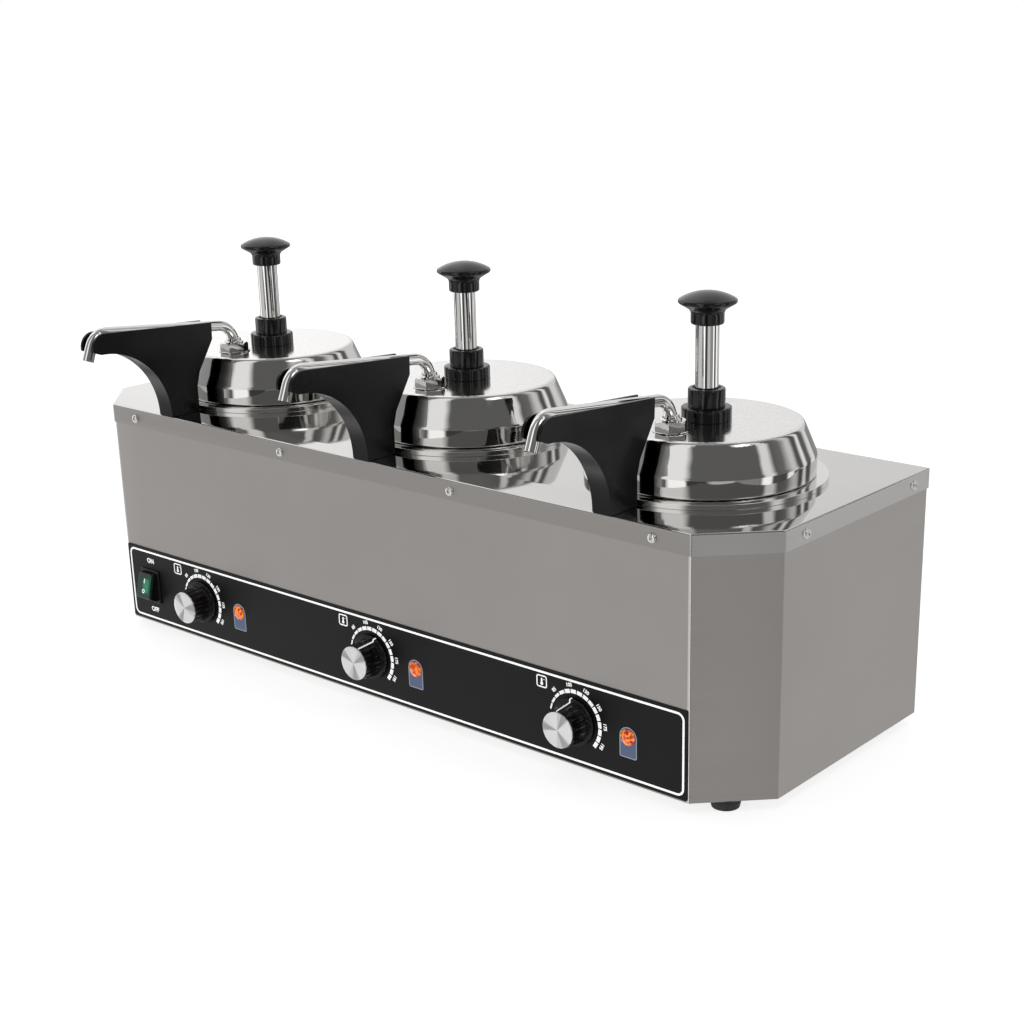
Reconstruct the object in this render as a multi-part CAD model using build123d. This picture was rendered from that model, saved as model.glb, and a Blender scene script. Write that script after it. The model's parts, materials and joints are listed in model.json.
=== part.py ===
from build123d import *
import math
import os

# Countertop warmer with three heated topping pots, each with a lid, a hand pump and a spout guard.
# Millimetres, +Z up, +X to the right seen from the front, the front faces -Y.
# While it is drawn, z = 0 is the underside of the casing and x = y = 0 is the middle of its plan.
# At the end everything moves together, so that the origin lies under the middle of the whole
# warmer, on the surface that it stands on.

# ---------------------------------------------------------------- driving dimensions

# Casing
body_length = 724.0
body_depth = 242.0
corner_cut = 46.0           # how far the 45 degree cut of a front corner reaches along the front
sheet = 1.0                 # stainless sheet of the casing
lip_height = 15.8           # the deck's edge, folded down over the casing
flange = 26.0               # inward returns at the casing's bottom and back
bend = 3.0 * sheet          # outside radius of the deck's upright folds
fold = 1.2 * sheet          # rounding along the deck's top edge
seam = 0.5                  # play of a plate or a stem in its opening
sharp = 0.0                 # radius of a corner whose small bend is left out

# Fasteners
screw_shank = 2.0           # radius of an M4 screw
screw_head = 3.9
screw_head_height = 2.4
screw_head_edge = 0.84      # upright rim of the head, below its crown
screw_length = 9.0
screw_hole = 2.2
deck_screw_drop = 8.7       # deck screws below the deck's top
deck_screw_inset = 32.0     # outer screws of a row, from the cut corner
deck_screw_pitch = 189.3    # from an outer screw to the next one
side_screw_front = -50.0
side_screw_back = 98.0
back_screw_inset = 13.0
back_screw_low = 22.0
back_screw_gap = 62.0
back_screw_count = 3        # on each side

# Feet
foot_radius = 11.5
foot_height = 8.0
foot_band = 3.2             # upright part of the foot, above its taper
foot_taper = 1.2
foot_recess = 4.0
foot_from_end = 34.0
foot_from_front = 29.0
foot_from_back = 24.0

# Stations, wells and pots, from the inside out
pot_from_end = 122.0        # middle of an outer pot from the casing's end
station_y = 3.0
pot_radius = 80.0
pot_wall = 0.8
pot_depth = 150.0
pot_corner = 12.0
rim_width = 11.0            # the pot's rim beyond its wall
rim_height = 4.0            # curled edge of the rim, down to the deck
pot_play = 3.0              # between pot and deck hole
water_depth = 19.2          # from the well's floor to the pot
well_wall = 0.8
well_corner = 9.0
well_flange = 10.0

# Heating plates under the wells
heater_radius = 62.0
heater_plate = 3.0
heater_ring = 44.0
heater_tube = 4.0
heater_pin = 2.5
heater_pin_length = 9.0
heater_pin_gap = 24.0
heater_room = 16.0          # free height between the terminals and the base plate

# Lid
lid_wall = 0.8
lid_beyond_pot = 2.0        # the upright band stands outside the pot's wall
lid_foot_inset = 0.6
lid_foot_rise = 2.6
lid_band = 25.0             # height of the upright band above the pot's rim
lid_height = 39.4
lid_cone = 10.5             # width of the cone between the band and the flat top
lid_guide_play = 2.6        # between the ring that drops into the pot and the pot's wall
lid_guide_depth = 3.4       # ends above the deck, so short of the rim's height
lid_band_bend = 2.0         # radii of the lid's outer line, from its foot to the top
lid_shoulder_bend = 4.0
lid_top_bend = 6.0

# Pump
fit = 0.05                  # radial clearance of a running or push fit
rest_gap = 0.3              # between pieces that stand against each other
cylinder_bore = 14.0
cylinder_wall = 2.0
clamp_ring = 1.6            # flange of the cylinder below the lid
collar_wall = 2.8           # of the fluted nut, outside the cylinder
collar_height = 9.8
collar_bevel = 1.2
collar_roof = 1.4           # inward lip that holds the guide bush down
collar_flutes = 10
flute_radius = 1.1
flute_depth = 0.715
bush_play = 0.1             # between the guide bush and the cylinder's bore
bush_height = 13.9          # above the collar
bush_edge = 0.8
bush_flange = 1.5           # reach of the bush's flange, which the collar holds
bush_flange_height = 1.8
bush_tail = 13.0            # inside the cylinder
bush_recess = 1.0           # shallow cup round the rod, in the bush's top
bush_recess_width = 1.8
valve_clearance = 9.0       # from the underside of the pot to the valve body
valve_radius = 20.0
valve_height = 17.0
valve_socket = 4.0
valve_inlet = 6.0
valve_slot = 5.0
valve_slot_height = 3.0

# Plunger
rod_radius = 8.75
stroke = 45.0
knob_stop = 1.9             # between the knob and the bush when the plunger is down
knob_neck = 12.3
knob_neck_height = 10.0
knob_neck_edge = 1.5        # rounding of the neck's lower edge
knob_neck_round = 5.0       # hollow between the neck and the head
knob_radius = 21.7
knob_head = 15.5            # from the neck's foot to the head's rim
knob_rim_height = 2.3
knob_rim_round = 1.9
knob_crown = 6.2
knob_socket = 6.0
piston_drop = 50.0          # from the guide bush to the piston, plunger up
piston_height = 12.0
piston_groove = 1.2
stop_ring = 4.0             # ring on the rod that meets the bush when the plunger is up
spring_radius = 11.0
spring_wire = 1.0
spring_turns = 7

# Discharge tube: heights above the lid's top, distances from the pot's middle or the casing's front
tube_radius = 4.75
tube_bore = 3.6
riser_offset = 44.0         # riser in front of the pot's middle
riser_socket = 7.0
riser_boss = 9.0
rear_bend_rise = 23.1       # corner of the centre line above the riser
nose_bend_rise = 39.0
nose_bend_out = 64.5        # beyond the casing's front
rear_bend_radius = 18.0
nose_bend_radius = 15.0
nozzle_reach = 23.6
nozzle_lean = 21.8          # degrees, forward of straight down
nut_across_flats = 21.6
nut_height = 8.0
nut_chamfer = 1.6

# Spout guard: the same, its foot stands on the deck
guard_width = 17.0
guard_plate = 2.3
guard_arc = 65.1            # radius of its hollow front edge
guard_nose_out = 73.0
guard_nose_rise = 23.6      # lower corner of the nose
guard_lip = 3.5             # slanted edge between the hollow and the nose
guard_lip_rise = 1.5
guard_lip_round = 1.0
guard_edge_round = 0.6
guard_nose_round = 12.0
guard_front_rise = 40.0     # top edge, in front and behind
guard_back_rise = 31.1
guard_back_gap = 30.0       # from the riser to the back edge
guard_back_drop = 14.5      # steep part of the back edge
guard_back_lean = 0.5
guard_knee_drop = 9.4       # knee of the back edge, below the lid's top
guard_knee_out = 17.0
guard_heel_rise = 12.0      # from the knee down to the upright heel
guard_heel_gap = 3.5        # between the heel and the pot's rim
guard_chin = 10.0           # the web ends this far behind the nose, for the nozzle
guard_mouth = 20.0          # height of the opening for the nozzle
saddle_thick = 3.0
saddle_depth = 12.0
saddle_behind = 25.0        # saddle behind the casing's front
saddle_beyond = 29.0        # saddle in front of it

# Control panel
overlay_thick = 0.8
overlay_low = 1.5
overlay_high = 71.0
overlay_end = 1.2           # short of the front's upright folds
overlay_corner = 1.5
control_z = 36.0
dial_inward = 27.0          # outer dials nearer to the middle than their pots
lamp_offset = 49.4          # lamp beside its dial
lamp_radius = 6.4
lamp_stem = 4.5
lamp_stem_length = 18.0
lamp_base = 1.0
lamp_ledge = 0.6            # of the collar round the facets
lamp_facet_height = 2.6
lamp_facet_slope = 38.0     # degrees from upright
lamp_facets = 10
switch_inset = 31.5         # switch from the cut corner

# Rocker switch
switch_width = 25.6
switch_height = 31.0
switch_bezel = 2.0
switch_bevel = 0.8
switch_body_width = 21.6
switch_body_height = 27.4
switch_body_depth = 24.0
switch_corner = 1.6
switch_wall = 1.0           # between the rocker's pocket and the pivot's end
tab_length = 7.0            # terminals behind the switch
tab_width = 6.0
tab_thick = 0.8
tab_across = 10.0           # from one column of terminals to the other
tab_pitch = 14.0
rocker_width = 18.8
rocker_radius = 12.6        # round sides, which swing in the pocket
rocker_shoulder = 3.0       # from the pivot to the end of the round sides
rocker_front = 8.5          # from the pivot to the lens's face
rocker_back = 5.0
rocker_tilt = 14.0          # degrees either way from the middle
rocker_pin = 1.5
lens_height = 22.4
lens_thick = 2.2
lens_ledge = 0.4            # of the rocker's body round the lens
lens_corner = 1.8
lens_edge = 0.6
pivot_depth = 1.2           # pivot behind the bezel's face

# Dials and thermostats
skirt_radius = 18.5
skirt_height = 3.6
skirt_bevel = 1.4
skirt_bevel_height = 0.6
grip_foot = 1.0             # hollow between the skirt and the grip
grip_radius = 15.8
grip_top_radius = 14.3
grip_edge = 0.8
dial_height = 20.0
dial_cap_radius = 13.2
dial_cap_thick = 1.0
dial_cap_proud = 0.2
dial_cap_bevel = 0.3
dial_gap = 0.4
grip_flutes = 18
grip_flute_radius = 0.9
stem_radius = 3.0
stem_length = 14.0
stem_end_gap = 1.5
bushing_radius = 5.0
bushing_hole = 5.2
thermostat_width = 34.0
thermostat_height = 30.0
thermostat_depth = 19.0
thermostat_corner = 2.0
dial_angles = {"left": 160.0, "centre": 68.0, "right": 95.0}   # pointer, from +X towards +Z

# Mains entry
gland_from_end = 222.0      # from the casing's left end
gland_z = 42.0
gland_across_flats = 20.0
gland_flange = 5.0
gland_dome = 11.0
gland_dome_side = 6.6       # upright part of the dome
gland_dome_radius = 8.8
gland_mouth = 1.8           # edge round the bore
gland_thread = 7.8
gland_thread_length = 11.0
gland_bore = 4.0
gland_hole = 8.1
gland_nut = 4.0
terminal_beside = 42.0      # terminal block to the right of the gland
terminal_behind = 33.0      # in front of the casing's back edge
terminal_length = 44.0
terminal_width = 18.0
terminal_height = 16.0
terminal_ways = 4
terminal_notch = 2.0        # between two ways
terminal_notch_depth = 7.2
terminal_screw_depth = 8.0

# Ventilation
vent_length = 44.0
vent_width = 4.0
vent_pitch = 12.0
vent_count = 5
back_vent_z = 96.0
base_vent_length = 60.0

# ---------------------------------------------------------------- worked out from the above

# the casing is as tall as the heater, the well and the pot need
base_top = 2 * sheet
well_floor = base_top + heater_room + heater_pin_length + heater_tube + heater_plate
pot_bottom = well_floor + well_wall + water_depth
rim_top = pot_bottom + pot_depth
body_height = rim_top - rim_height
half_length = body_length / 2
half_depth = body_depth / 2
front_end = half_length - corner_cut        # where the front meets the cut corner
deck_under = body_height - sheet
wrap_front = sheet - half_depth             # outer face of the casing's front
wrap_back = half_depth - 2 * sheet          # where the side walls end and the back panel begins
panel_face = wrap_front - overlay_thick     # front of the control overlay
behind_panel = -sheet - overlay_thick       # inner face of the front, seen from the panel's face
deck_hole = pot_radius + pot_play
rim_radius = pot_radius + rim_width
lid_top = rim_top + lid_height
lid_radius = pot_radius + lid_beyond_pot
cylinder_radius = cylinder_bore + cylinder_wall
collar_radius = cylinder_radius + collar_wall
collar_top = lid_top + collar_height
bush_radius = cylinder_bore - bush_play
bush_seat = collar_top - collar_roof - bush_flange_height     # the bush's flange on the cylinder
bush_low = bush_seat - bush_tail
valve_low = pot_bottom + valve_clearance
valve_top = valve_low + valve_height
cylinder_bottom = valve_top - valve_socket
knob_bottom = collar_top + bush_height + stroke + knob_stop
piston_top = bush_low - piston_drop
piston_low = piston_top - piston_height
front_y = -half_depth
riser_y = station_y - riser_offset
rear_bend_z = lid_top + rear_bend_rise
nose_bend_y = front_y - nose_bend_out
nose_bend_z = lid_top + nose_bend_rise
guard_foot = body_height + rest_gap
guard_nose_y = front_y - guard_nose_out
guard_back_y = riser_y - guard_back_gap
guard_front_z = lid_top + guard_front_rise
guard_back_z = lid_top + guard_back_rise
guard_knee_z = lid_top - guard_knee_drop
switch_x = switch_inset - front_end
station_pitch = half_length - pot_from_end
dial_pitch = station_pitch - dial_inward
stations = {"left": -station_pitch, "centre": 0.0, "right": station_pitch}
dials = {"left": -dial_pitch, "centre": 0.0, "right": dial_pitch}
gland_x = gland_from_end - half_length
terminal_x = gland_x + terminal_beside
terminal_y = half_depth - terminal_behind

parts = {}


# ---------------------------------------------------------------- helpers

def casing_plan(inset):
    """Plan of the casing, drawn in by inset: square behind, with cut corners in front."""
    x = half_length - inset
    y = half_depth - inset
    cut = corner_cut - inset * (2 - math.sqrt(2))
    outline = Polyline(
        (-x, y), (-x, cut - y), (cut - x, -y), (x - cut, -y), (x, cut - y), (x, y), close=True
    )
    plan = make_face(outline)
    if bend > inset:
        front_folds = plan.vertices().filter_by(lambda corner: corner.Y < 0)
        plan = fillet(front_folds, bend - inset)
    return plan


def block(low, high):
    """Box between two corners."""
    size = [high[i] - low[i] for i in range(3)]
    middle = [(high[i] + low[i]) / 2 for i in range(3)]
    return Pos(*middle) * Box(*size)


def turned(profile):
    """Solid of revolution about Z from a closed outline of (radius, height) points or a face."""
    face = profile if isinstance(profile, (Face, Sketch)) else make_face(Polyline(*profile, close=True))
    return revolve(Plane.XZ * face, Axis.Z)


def spun_sheet(points, radii, thickness):
    """Sheet turned about Z: the outer line runs through points, the thickness lies to its left."""
    line = FilletPolyline(*points, radius=radii)
    section = offset(line, amount=thickness, side=Side.LEFT, closed=True, kind=Kind.INTERSECTION)
    return turned(make_face(section.edges()))


def rod(radius, low, high):
    """Upright round bar."""
    return Pos(0, 0, low) * extrude(Circle(radius), high - low)


def facing(direction, x, y, z):
    """Plane whose normal points along direction, with its own y axis upright."""
    upright = Vector(0, 0, 1)
    return Plane(origin=(x, y, z), x_dir=upright.cross(Vector(*direction)), z_dir=direction)


def front(x, z, y):
    """Plane facing the user at (x, y, z): local x is +X, local y is +Z, local z is -Y."""
    return facing((0, -1, 0), x, y, z)


def dome(radius, low, high):
    """Round crown of a turned profile, from its edge at low to the axis at high."""
    rise = high - low
    sphere = (radius ** 2 + rise ** 2) / (2 * rise)
    half_way = math.asin(radius / sphere) / 2
    middle = (sphere * math.sin(half_way), high - sphere + sphere * math.cos(half_way))
    return ThreePointArc((radius, low), middle, (0, high))


def pan_screw():
    """Pan head screw along Z, its head above z = 0."""
    head = Polyline((0, 0), (screw_head, 0), (screw_head, screw_head_edge))
    crown = dome(screw_head, screw_head_edge, screw_head_height)
    close = Line((0, screw_head_height), (0, 0))
    shank = rod(screw_shank, -screw_length, 0)
    return turned(make_face([*head.edges(), crown, close])) + shank


def slots(plane, count, pitch, length, width, depth):
    """Row of upright slots, centred on the plane and cut both ways through it."""
    cutter = extrude(SlotOverall(length, width, rotation=90), depth, both=True)
    return [plane * Pos((i - (count - 1) / 2) * pitch, 0, 0) * cutter for i in range(count)]


# ---------------------------------------------------------------- casing

def deck_screw_places():
    """Every deck screw as (x, y, z, outward direction), on the outside of the deck's lip."""
    z = body_height - deck_screw_drop
    outer = front_end - deck_screw_inset
    xs = [outer, outer - deck_screw_pitch]
    xs = xs + [-x for x in xs]
    places = [(x, -half_depth, z, (0, -1, 0)) for x in xs]
    places += [(x, half_depth, z, (0, 1, 0)) for x in xs]
    for y in (side_screw_front, side_screw_back):
        places.append((half_length, y, z, (1, 0, 0)))
        places.append((-half_length, y, z, (-1, 0, 0)))
    return places


def back_screw_places():
    """Screws that hold the back panel to the casing's returns."""
    x = half_length - sheet - back_screw_inset
    y = half_depth - sheet
    rows = [back_screw_low + i * back_screw_gap for i in range(back_screw_count)]
    return [(side * x, y, z, (0, 1, 0)) for side in (-1, 1) for z in rows]


def screw_holes(places):
    """Clearance holes for a list of screw places."""
    hole = extrude(Circle(screw_hole), screw_length, both=True)
    return [facing(direction, x, y, z) * hole for x, y, z, direction in places]


def foot_places():
    """Middles of the feet in plan."""
    x = half_length - foot_from_end
    ys = (front_y + foot_from_front, half_depth - foot_from_back)
    return [(side * x, y) for side in (-1, 1) for y in ys]


def foot_holes():
    """Clearance holes for the feet's screws, through the casing's return and the base plate."""
    hole = extrude(Circle(screw_hole), foot_height, both=True)
    return [Pos(x, y, 0) * hole for x, y in foot_places()]


def make_top_deck():
    """Deck plate with its lip folded down and a round hole for each pot."""
    plate = Pos(0, 0, deck_under) * extrude(casing_plan(0), sheet)
    lip = casing_plan(0) - casing_plan(sheet)
    deck = plate + Pos(0, 0, body_height - lip_height) * extrude(lip, lip_height - sheet)
    top_edges = deck.faces().sort_by(Axis.Z)[-1].outer_wire().edges()
    deck = fillet(top_edges, fold)
    for x in stations.values():
        deck -= Pos(x, station_y, 0) * rod(deck_hole, deck_under - sheet, body_height + sheet)
    return deck - screw_holes(deck_screw_places())


def make_casing_wrap():
    """Front, cut corners and sides folded from one sheet, with returns at the bottom and back."""
    walls = extrude(casing_plan(sheet) - casing_plan(2 * sheet), deck_under)
    floor = extrude(casing_plan(sheet) - casing_plan(sheet + flange), sheet)
    behind = block((-body_length, wrap_back, -sheet), (body_length, body_depth, body_height + sheet))
    wrap = walls + floor - behind
    for side in (-1, 1):
        inner = side * (half_length - sheet - flange)
        outer = side * (half_length - 1.5 * sheet)      # in the middle of the side wall
        low = (min(inner, outer), wrap_back - sheet, 0)
        wrap += block(low, (max(inner, outer), wrap_back, deck_under))
    wrap -= panel_cutouts()
    wrap -= screw_holes(deck_screw_places() + back_screw_places())
    return wrap - foot_holes()


def panel_cutouts():
    """Openings of the front and its overlay, for the switch, the dials and the lamps."""
    cutters = [front(switch_x, control_z, wrap_front) * switch_cutout()]
    for x in dials.values():
        cutters.append(front(x, control_z, wrap_front) * round_cutout(bushing_hole))
        cutters.append(front(x + lamp_offset, control_z, wrap_front) * round_cutout(lamp_stem + seam))
    return cutters


def switch_cutout():
    """Opening for the switch's body."""
    return extrude(Rectangle(switch_body_width + seam, switch_body_height + seam), 2 * sheet, both=True)


def round_cutout(radius):
    """Round opening through a sheet."""
    return extrude(Circle(radius), 2 * sheet, both=True)


def make_back_panel():
    """Flat back with ventilation slots behind each well and the hole for the cord gland."""
    x = half_length - sheet
    panel = block((-x, wrap_back, 0), (x, wrap_back + sheet, deck_under))
    for station in stations.values():
        panel -= slots(facing((0, 1, 0), station, wrap_back, back_vent_z),
                       vent_count, vent_pitch, vent_length, vent_width, 2 * sheet)
    panel -= facing((0, 1, 0), gland_x, wrap_back, gland_z) * round_cutout(gland_hole)
    return panel - screw_holes(deck_screw_places() + back_screw_places())


def make_base_plate():
    """Bottom plate lying on the casing's returns, with air slots under each heater."""
    plate = Pos(0, 0, sheet) * extrude(casing_plan(3 * sheet + seam), sheet)
    for station in stations.values():
        plate -= slots(Pos(station, station_y, sheet) * Plane.XY,
                       vent_count, vent_pitch, base_vent_length, vent_width, 2 * sheet)
    return plate - foot_holes()


def make_overlay():
    """Control overlay on the casing's front, cut out for the switch, dials and lamps."""
    width = 2 * (front_end - overlay_end)
    height = overlay_high - overlay_low
    plate = extrude(RectangleRounded(width, height, overlay_corner), overlay_thick)
    return front(0, (overlay_high + overlay_low) / 2, wrap_front) * plate - panel_cutouts()


def make_foot():
    """Tapered rubber foot, recessed from below for its screw."""
    recess = screw_head + seam
    return turned([
        (screw_hole, 0), (foot_radius, 0), (foot_radius, -foot_band),
        (foot_radius - foot_taper, -foot_height), (recess, -foot_height),
        (recess, foot_recess - foot_height), (screw_hole, foot_recess - foot_height),
    ])


def make_well():
    """Deep drawn water well hung under the deck."""
    wall = deck_hole + well_wall
    flange_low = deck_under - well_wall
    points = [(0, well_floor), (wall, well_floor), (wall, flange_low), (wall + well_flange, flange_low)]
    return spun_sheet(points, [well_corner, sharp], well_wall)


def make_heater():
    """Cast heating plate under a well: disc, ring for the heating coil and two terminals."""
    underside = well_floor - heater_plate
    disc = rod(heater_radius, underside, well_floor)
    ring = Pos(0, 0, underside) * Torus(heater_ring, heater_tube)
    below = rod(heater_radius, underside - 2 * heater_tube, underside)
    pin = rod(heater_pin, underside - heater_tube - heater_pin_length, underside)
    pins = [Pos(side * heater_pin_gap / 2, heater_ring, 0) * pin for side in (-1, 1)]
    return disc + (ring & below) + pins


def make_gland():
    """Cord gland: flange, clamping dome, thread through the panel and lock nut, all bored."""
    hexagon = RegularPolygon(gland_across_flats / 2, 6, major_radius=False)
    flange_ring = extrude(hexagon, gland_flange)
    cap = turned([
        (0, gland_flange), (gland_dome_radius, gland_flange),
        (gland_dome_radius, gland_flange + gland_dome_side),
        (gland_bore + gland_mouth, gland_flange + gland_dome), (0, gland_flange + gland_dome),
    ])
    thread = rod(gland_thread, -gland_thread_length - sheet, 0)
    nut = Pos(0, 0, -sheet - gland_nut) * extrude(hexagon, gland_nut)
    body = flange_ring + cap + thread + nut
    return body - rod(gland_bore, -2 * gland_thread_length, 2 * gland_dome)


def make_terminal_block():
    """Row of screw terminals standing on the base plate."""
    top = base_top + terminal_height
    body = block((-terminal_length / 2, -terminal_width / 2, base_top),
                 (terminal_length / 2, terminal_width / 2, top))
    notch = block((-terminal_notch / 2, -terminal_width, top - terminal_notch_depth),
                  (terminal_notch / 2, terminal_width, top + 1))
    pitch = terminal_length / terminal_ways
    for i in range(terminal_ways - 1):
        body -= Pos((i + 1 - terminal_ways / 2) * pitch, 0, 0) * notch
    for i in range(terminal_ways):
        x = (i + 0.5 - terminal_ways / 2) * pitch
        body -= Pos(x, 0, 0) * rod(screw_shank, top - terminal_screw_depth, top + 1)
    return body


# ---------------------------------------------------------------- switch, lamps and dials

def make_switch_frame():
    """Bezel and body of the rocker switch, with the pocket and pivot holes for the rocker."""
    bezel = extrude(RectangleRounded(switch_width, switch_height, switch_corner), switch_bezel)
    bezel = chamfer(bezel.faces().sort_by(Axis.Z)[-1].edges(), switch_bevel)
    back = switch_body_depth
    body = Pos(0, 0, -back) * extrude(Rectangle(switch_body_width, switch_body_height), back)
    tab = Pos(0, 0, -back - tab_length) * extrude(Rectangle(tab_thick, tab_width), tab_length)
    tabs = [place * tab for place in GridLocations(tab_across, tab_pitch, 2, 2)]
    pocket_width = rocker_width + 2 * rest_gap
    pocket_height = 2 * (rocker_radius + rest_gap)
    pivot_z = switch_bezel - pivot_depth
    swing = rocker_radius * math.sin(math.radians(rocker_tilt))
    floor = pivot_z - swing - rocker_back - 1
    pocket = Pos(0, 0, floor) * extrude(Rectangle(pocket_width, pocket_height), switch_bezel - floor + 1)
    pins = extrude(Circle(rocker_pin + fit), pin_reach() + fit, both=True)
    return bezel + body + tabs - pocket - Pos(0, 0, pivot_z) * Rot(0, 90, 0) * pins


def pin_reach():
    """From the middle of the rocker to the end of a pivot pin."""
    return rocker_width / 2 + rest_gap + switch_wall


def on_pivot(piece):
    """Places a piece drawn about the rocker's pivot, its upper half pressed in."""
    pressed = Rot(-rocker_tilt, 0, 0) * piece
    return front(switch_x, control_z, panel_face - switch_bezel + pivot_depth) * pressed


def make_rocker():
    """Body of the rocker: a wedge whose sides turn round behind the lens, on two pivot pins."""
    seat = rocker_front - lens_thick
    edge = lens_height / 2 + lens_ledge
    shoulder = math.sqrt(rocker_radius ** 2 - rocker_shoulder ** 2)
    heel = math.sqrt(rocker_radius ** 2 - rocker_back ** 2)
    # the profile lies in a plane with x outward from the panel and y downward
    wedge = Polyline((rocker_shoulder, -shoulder), (seat, -edge), (seat, edge), (rocker_shoulder, shoulder))
    low_side = ThreePointArc((rocker_shoulder, shoulder), (0, rocker_radius), (-rocker_back, heel))
    back = Line((-rocker_back, heel), (-rocker_back, -heel))
    high_side = ThreePointArc((-rocker_back, -heel), (0, -rocker_radius), (rocker_shoulder, -shoulder))
    profile = make_face([*wedge.edges(), low_side, back, high_side])
    body = extrude(profile, rocker_width / 2, both=True)
    pins = extrude(Circle(rocker_pin), pin_reach(), both=True)
    sideways = Plane(origin=(0, 0, 0), x_dir=(0, 0, 1), z_dir=(1, 0, 0))
    return on_pivot(sideways * (body + pins))


def make_rocker_lens():
    """Green lens over the whole face of the rocker."""
    outline = RectangleRounded(rocker_width - 2 * lens_ledge, lens_height, lens_corner)
    lens = Pos(0, 0, rocker_front - lens_thick) * extrude(outline, lens_thick)
    return on_pivot(fillet(lens.faces().sort_by(Axis.Z)[-1].edges(), lens_edge))


def make_lamp():
    """Amber indicator: faceted lens on a collar, with its stem behind the panel."""
    collar = extrude(Circle(lamp_radius), lamp_base)
    outline = RegularPolygon(lamp_radius - lamp_ledge, lamp_facets)
    facets = Pos(0, 0, lamp_base) * extrude(outline, lamp_facet_height, taper=lamp_facet_slope)
    stem = rod(lamp_stem, -lamp_stem_length, 0)
    return collar + facets + stem


def make_thermostat():
    """Capillary thermostat behind the front, its bushing reaching through to the dial."""
    outline = RectangleRounded(thermostat_width, thermostat_height, thermostat_corner)
    case = Pos(0, 0, behind_panel - thermostat_depth) * extrude(outline, thermostat_depth)
    bushing = rod(bushing_radius, behind_panel, 0)
    return case + bushing - rod(stem_radius + fit, behind_panel - stem_length, 1)


def make_dial():
    """Dial knob: skirt, fluted grip, recess for the metal cap and the stem that it turns."""
    skirt_top = dial_gap + skirt_height
    grip_bottom = skirt_top + grip_foot
    seat = dial_height - dial_cap_thick
    body = turned([
        (0, dial_gap), (skirt_radius, dial_gap), (skirt_radius, skirt_top - skirt_bevel_height),
        (skirt_radius - skirt_bevel, skirt_top), (grip_radius + grip_foot / 2, skirt_top),
        (grip_radius, grip_bottom), (grip_top_radius, dial_height - grip_edge),
        (grip_top_radius - grip_edge / 2, dial_height), (dial_cap_radius, dial_height),
        (dial_cap_radius, seat), (0, seat),
    ])
    flute = rod(grip_flute_radius, grip_bottom + grip_foot / 2, dial_height + 1)
    body -= [place * flute for place in PolarLocations(grip_radius, grip_flutes)]
    # the stem goes into the thermostat's bushing
    return body + rod(stem_radius, behind_panel - stem_length + stem_end_gap, dial_gap)


def make_dial_cap():
    """Spun metal cap let into the dial's face."""
    seat = dial_height - dial_cap_thick
    cap = rod(dial_cap_radius - fit, seat, dial_height + dial_cap_proud)
    return chamfer(cap.edges().sort_by(Axis.Z)[-1], dial_cap_bevel)


# ---------------------------------------------------------------- pots, lids and pumps

def make_pot():
    """Round pot with a flat rim whose curled edge stands on the deck."""
    under = rim_top - pot_wall
    curl = rim_radius - pot_wall
    wall = [(0, pot_bottom), (pot_radius, pot_bottom), (pot_radius, under)]
    rim = [(curl, under), (curl, body_height)]
    return spun_sheet(wall + rim, [pot_corner, sharp, sharp], pot_wall)


def make_lid():
    """Lid with a guide ring inside the pot, an upright band, a cone and a flat top."""
    guide = pot_radius - pot_wall - lid_guide_play
    points = [
        (guide, rim_top - lid_guide_depth), (guide, rim_top), (lid_radius - lid_foot_inset, rim_top),
        (lid_radius, rim_top + lid_foot_rise), (lid_radius, rim_top + lid_band),
        (lid_radius - lid_cone, lid_top), (0, lid_top),
    ]
    bends = [sharp, sharp, lid_band_bend, lid_shoulder_bend, lid_top_bend]
    lid = spun_sheet(points, bends, lid_wall)
    lid -= rod(cylinder_radius + fit, rim_top, lid_top + 1)
    return lid - Pos(0, -riser_offset, 0) * rod(tube_radius + fit, rim_top, lid_top + 1)


def make_collar():
    """Fluted hand nut that draws the cylinder up against the lid and holds the bush."""
    collar = turned([
        (cylinder_radius + fit, lid_top), (collar_radius, lid_top),
        (collar_radius, collar_top - collar_bevel), (collar_radius - collar_bevel, collar_top),
        (bush_radius + fit, collar_top), (bush_radius + fit, collar_top - collar_roof),
        (cylinder_radius + fit, collar_top - collar_roof),
    ])
    flute = rod(flute_radius, lid_top - 1, collar_top + 1)
    ring = PolarLocations(collar_radius + flute_radius - flute_depth, collar_flutes)
    return collar - [place * flute for place in ring]


def make_bush():
    """Guide bush of the rod: a smooth sleeve above the collar, its flange held inside it."""
    bore = rod_radius + fit
    flange_edge = bush_radius + bush_flange
    flange_top = bush_seat + bush_flange_height
    top = collar_top + bush_height
    recess = rod_radius + bush_recess_width
    return turned([
        (bore, bush_low), (bush_radius, bush_low), (bush_radius, bush_seat), (flange_edge, bush_seat),
        (flange_edge, flange_top), (bush_radius, flange_top), (bush_radius, top - bush_edge),
        (bush_radius - bush_edge, top), (recess, top), (recess, top - bush_recess), (bore, top - bush_recess),
    ])


def make_cylinder():
    """Pump cylinder through the lid, with the ring that is drawn up under it."""
    ring_top = lid_top - lid_wall
    return turned([
        (cylinder_bore, cylinder_bottom), (cylinder_radius, cylinder_bottom),
        (cylinder_radius, ring_top - clamp_ring), (collar_radius, ring_top - clamp_ring),
        (collar_radius, ring_top), (cylinder_radius, ring_top), (cylinder_radius, bush_seat),
        (cylinder_bore, bush_seat),
    ])


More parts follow.
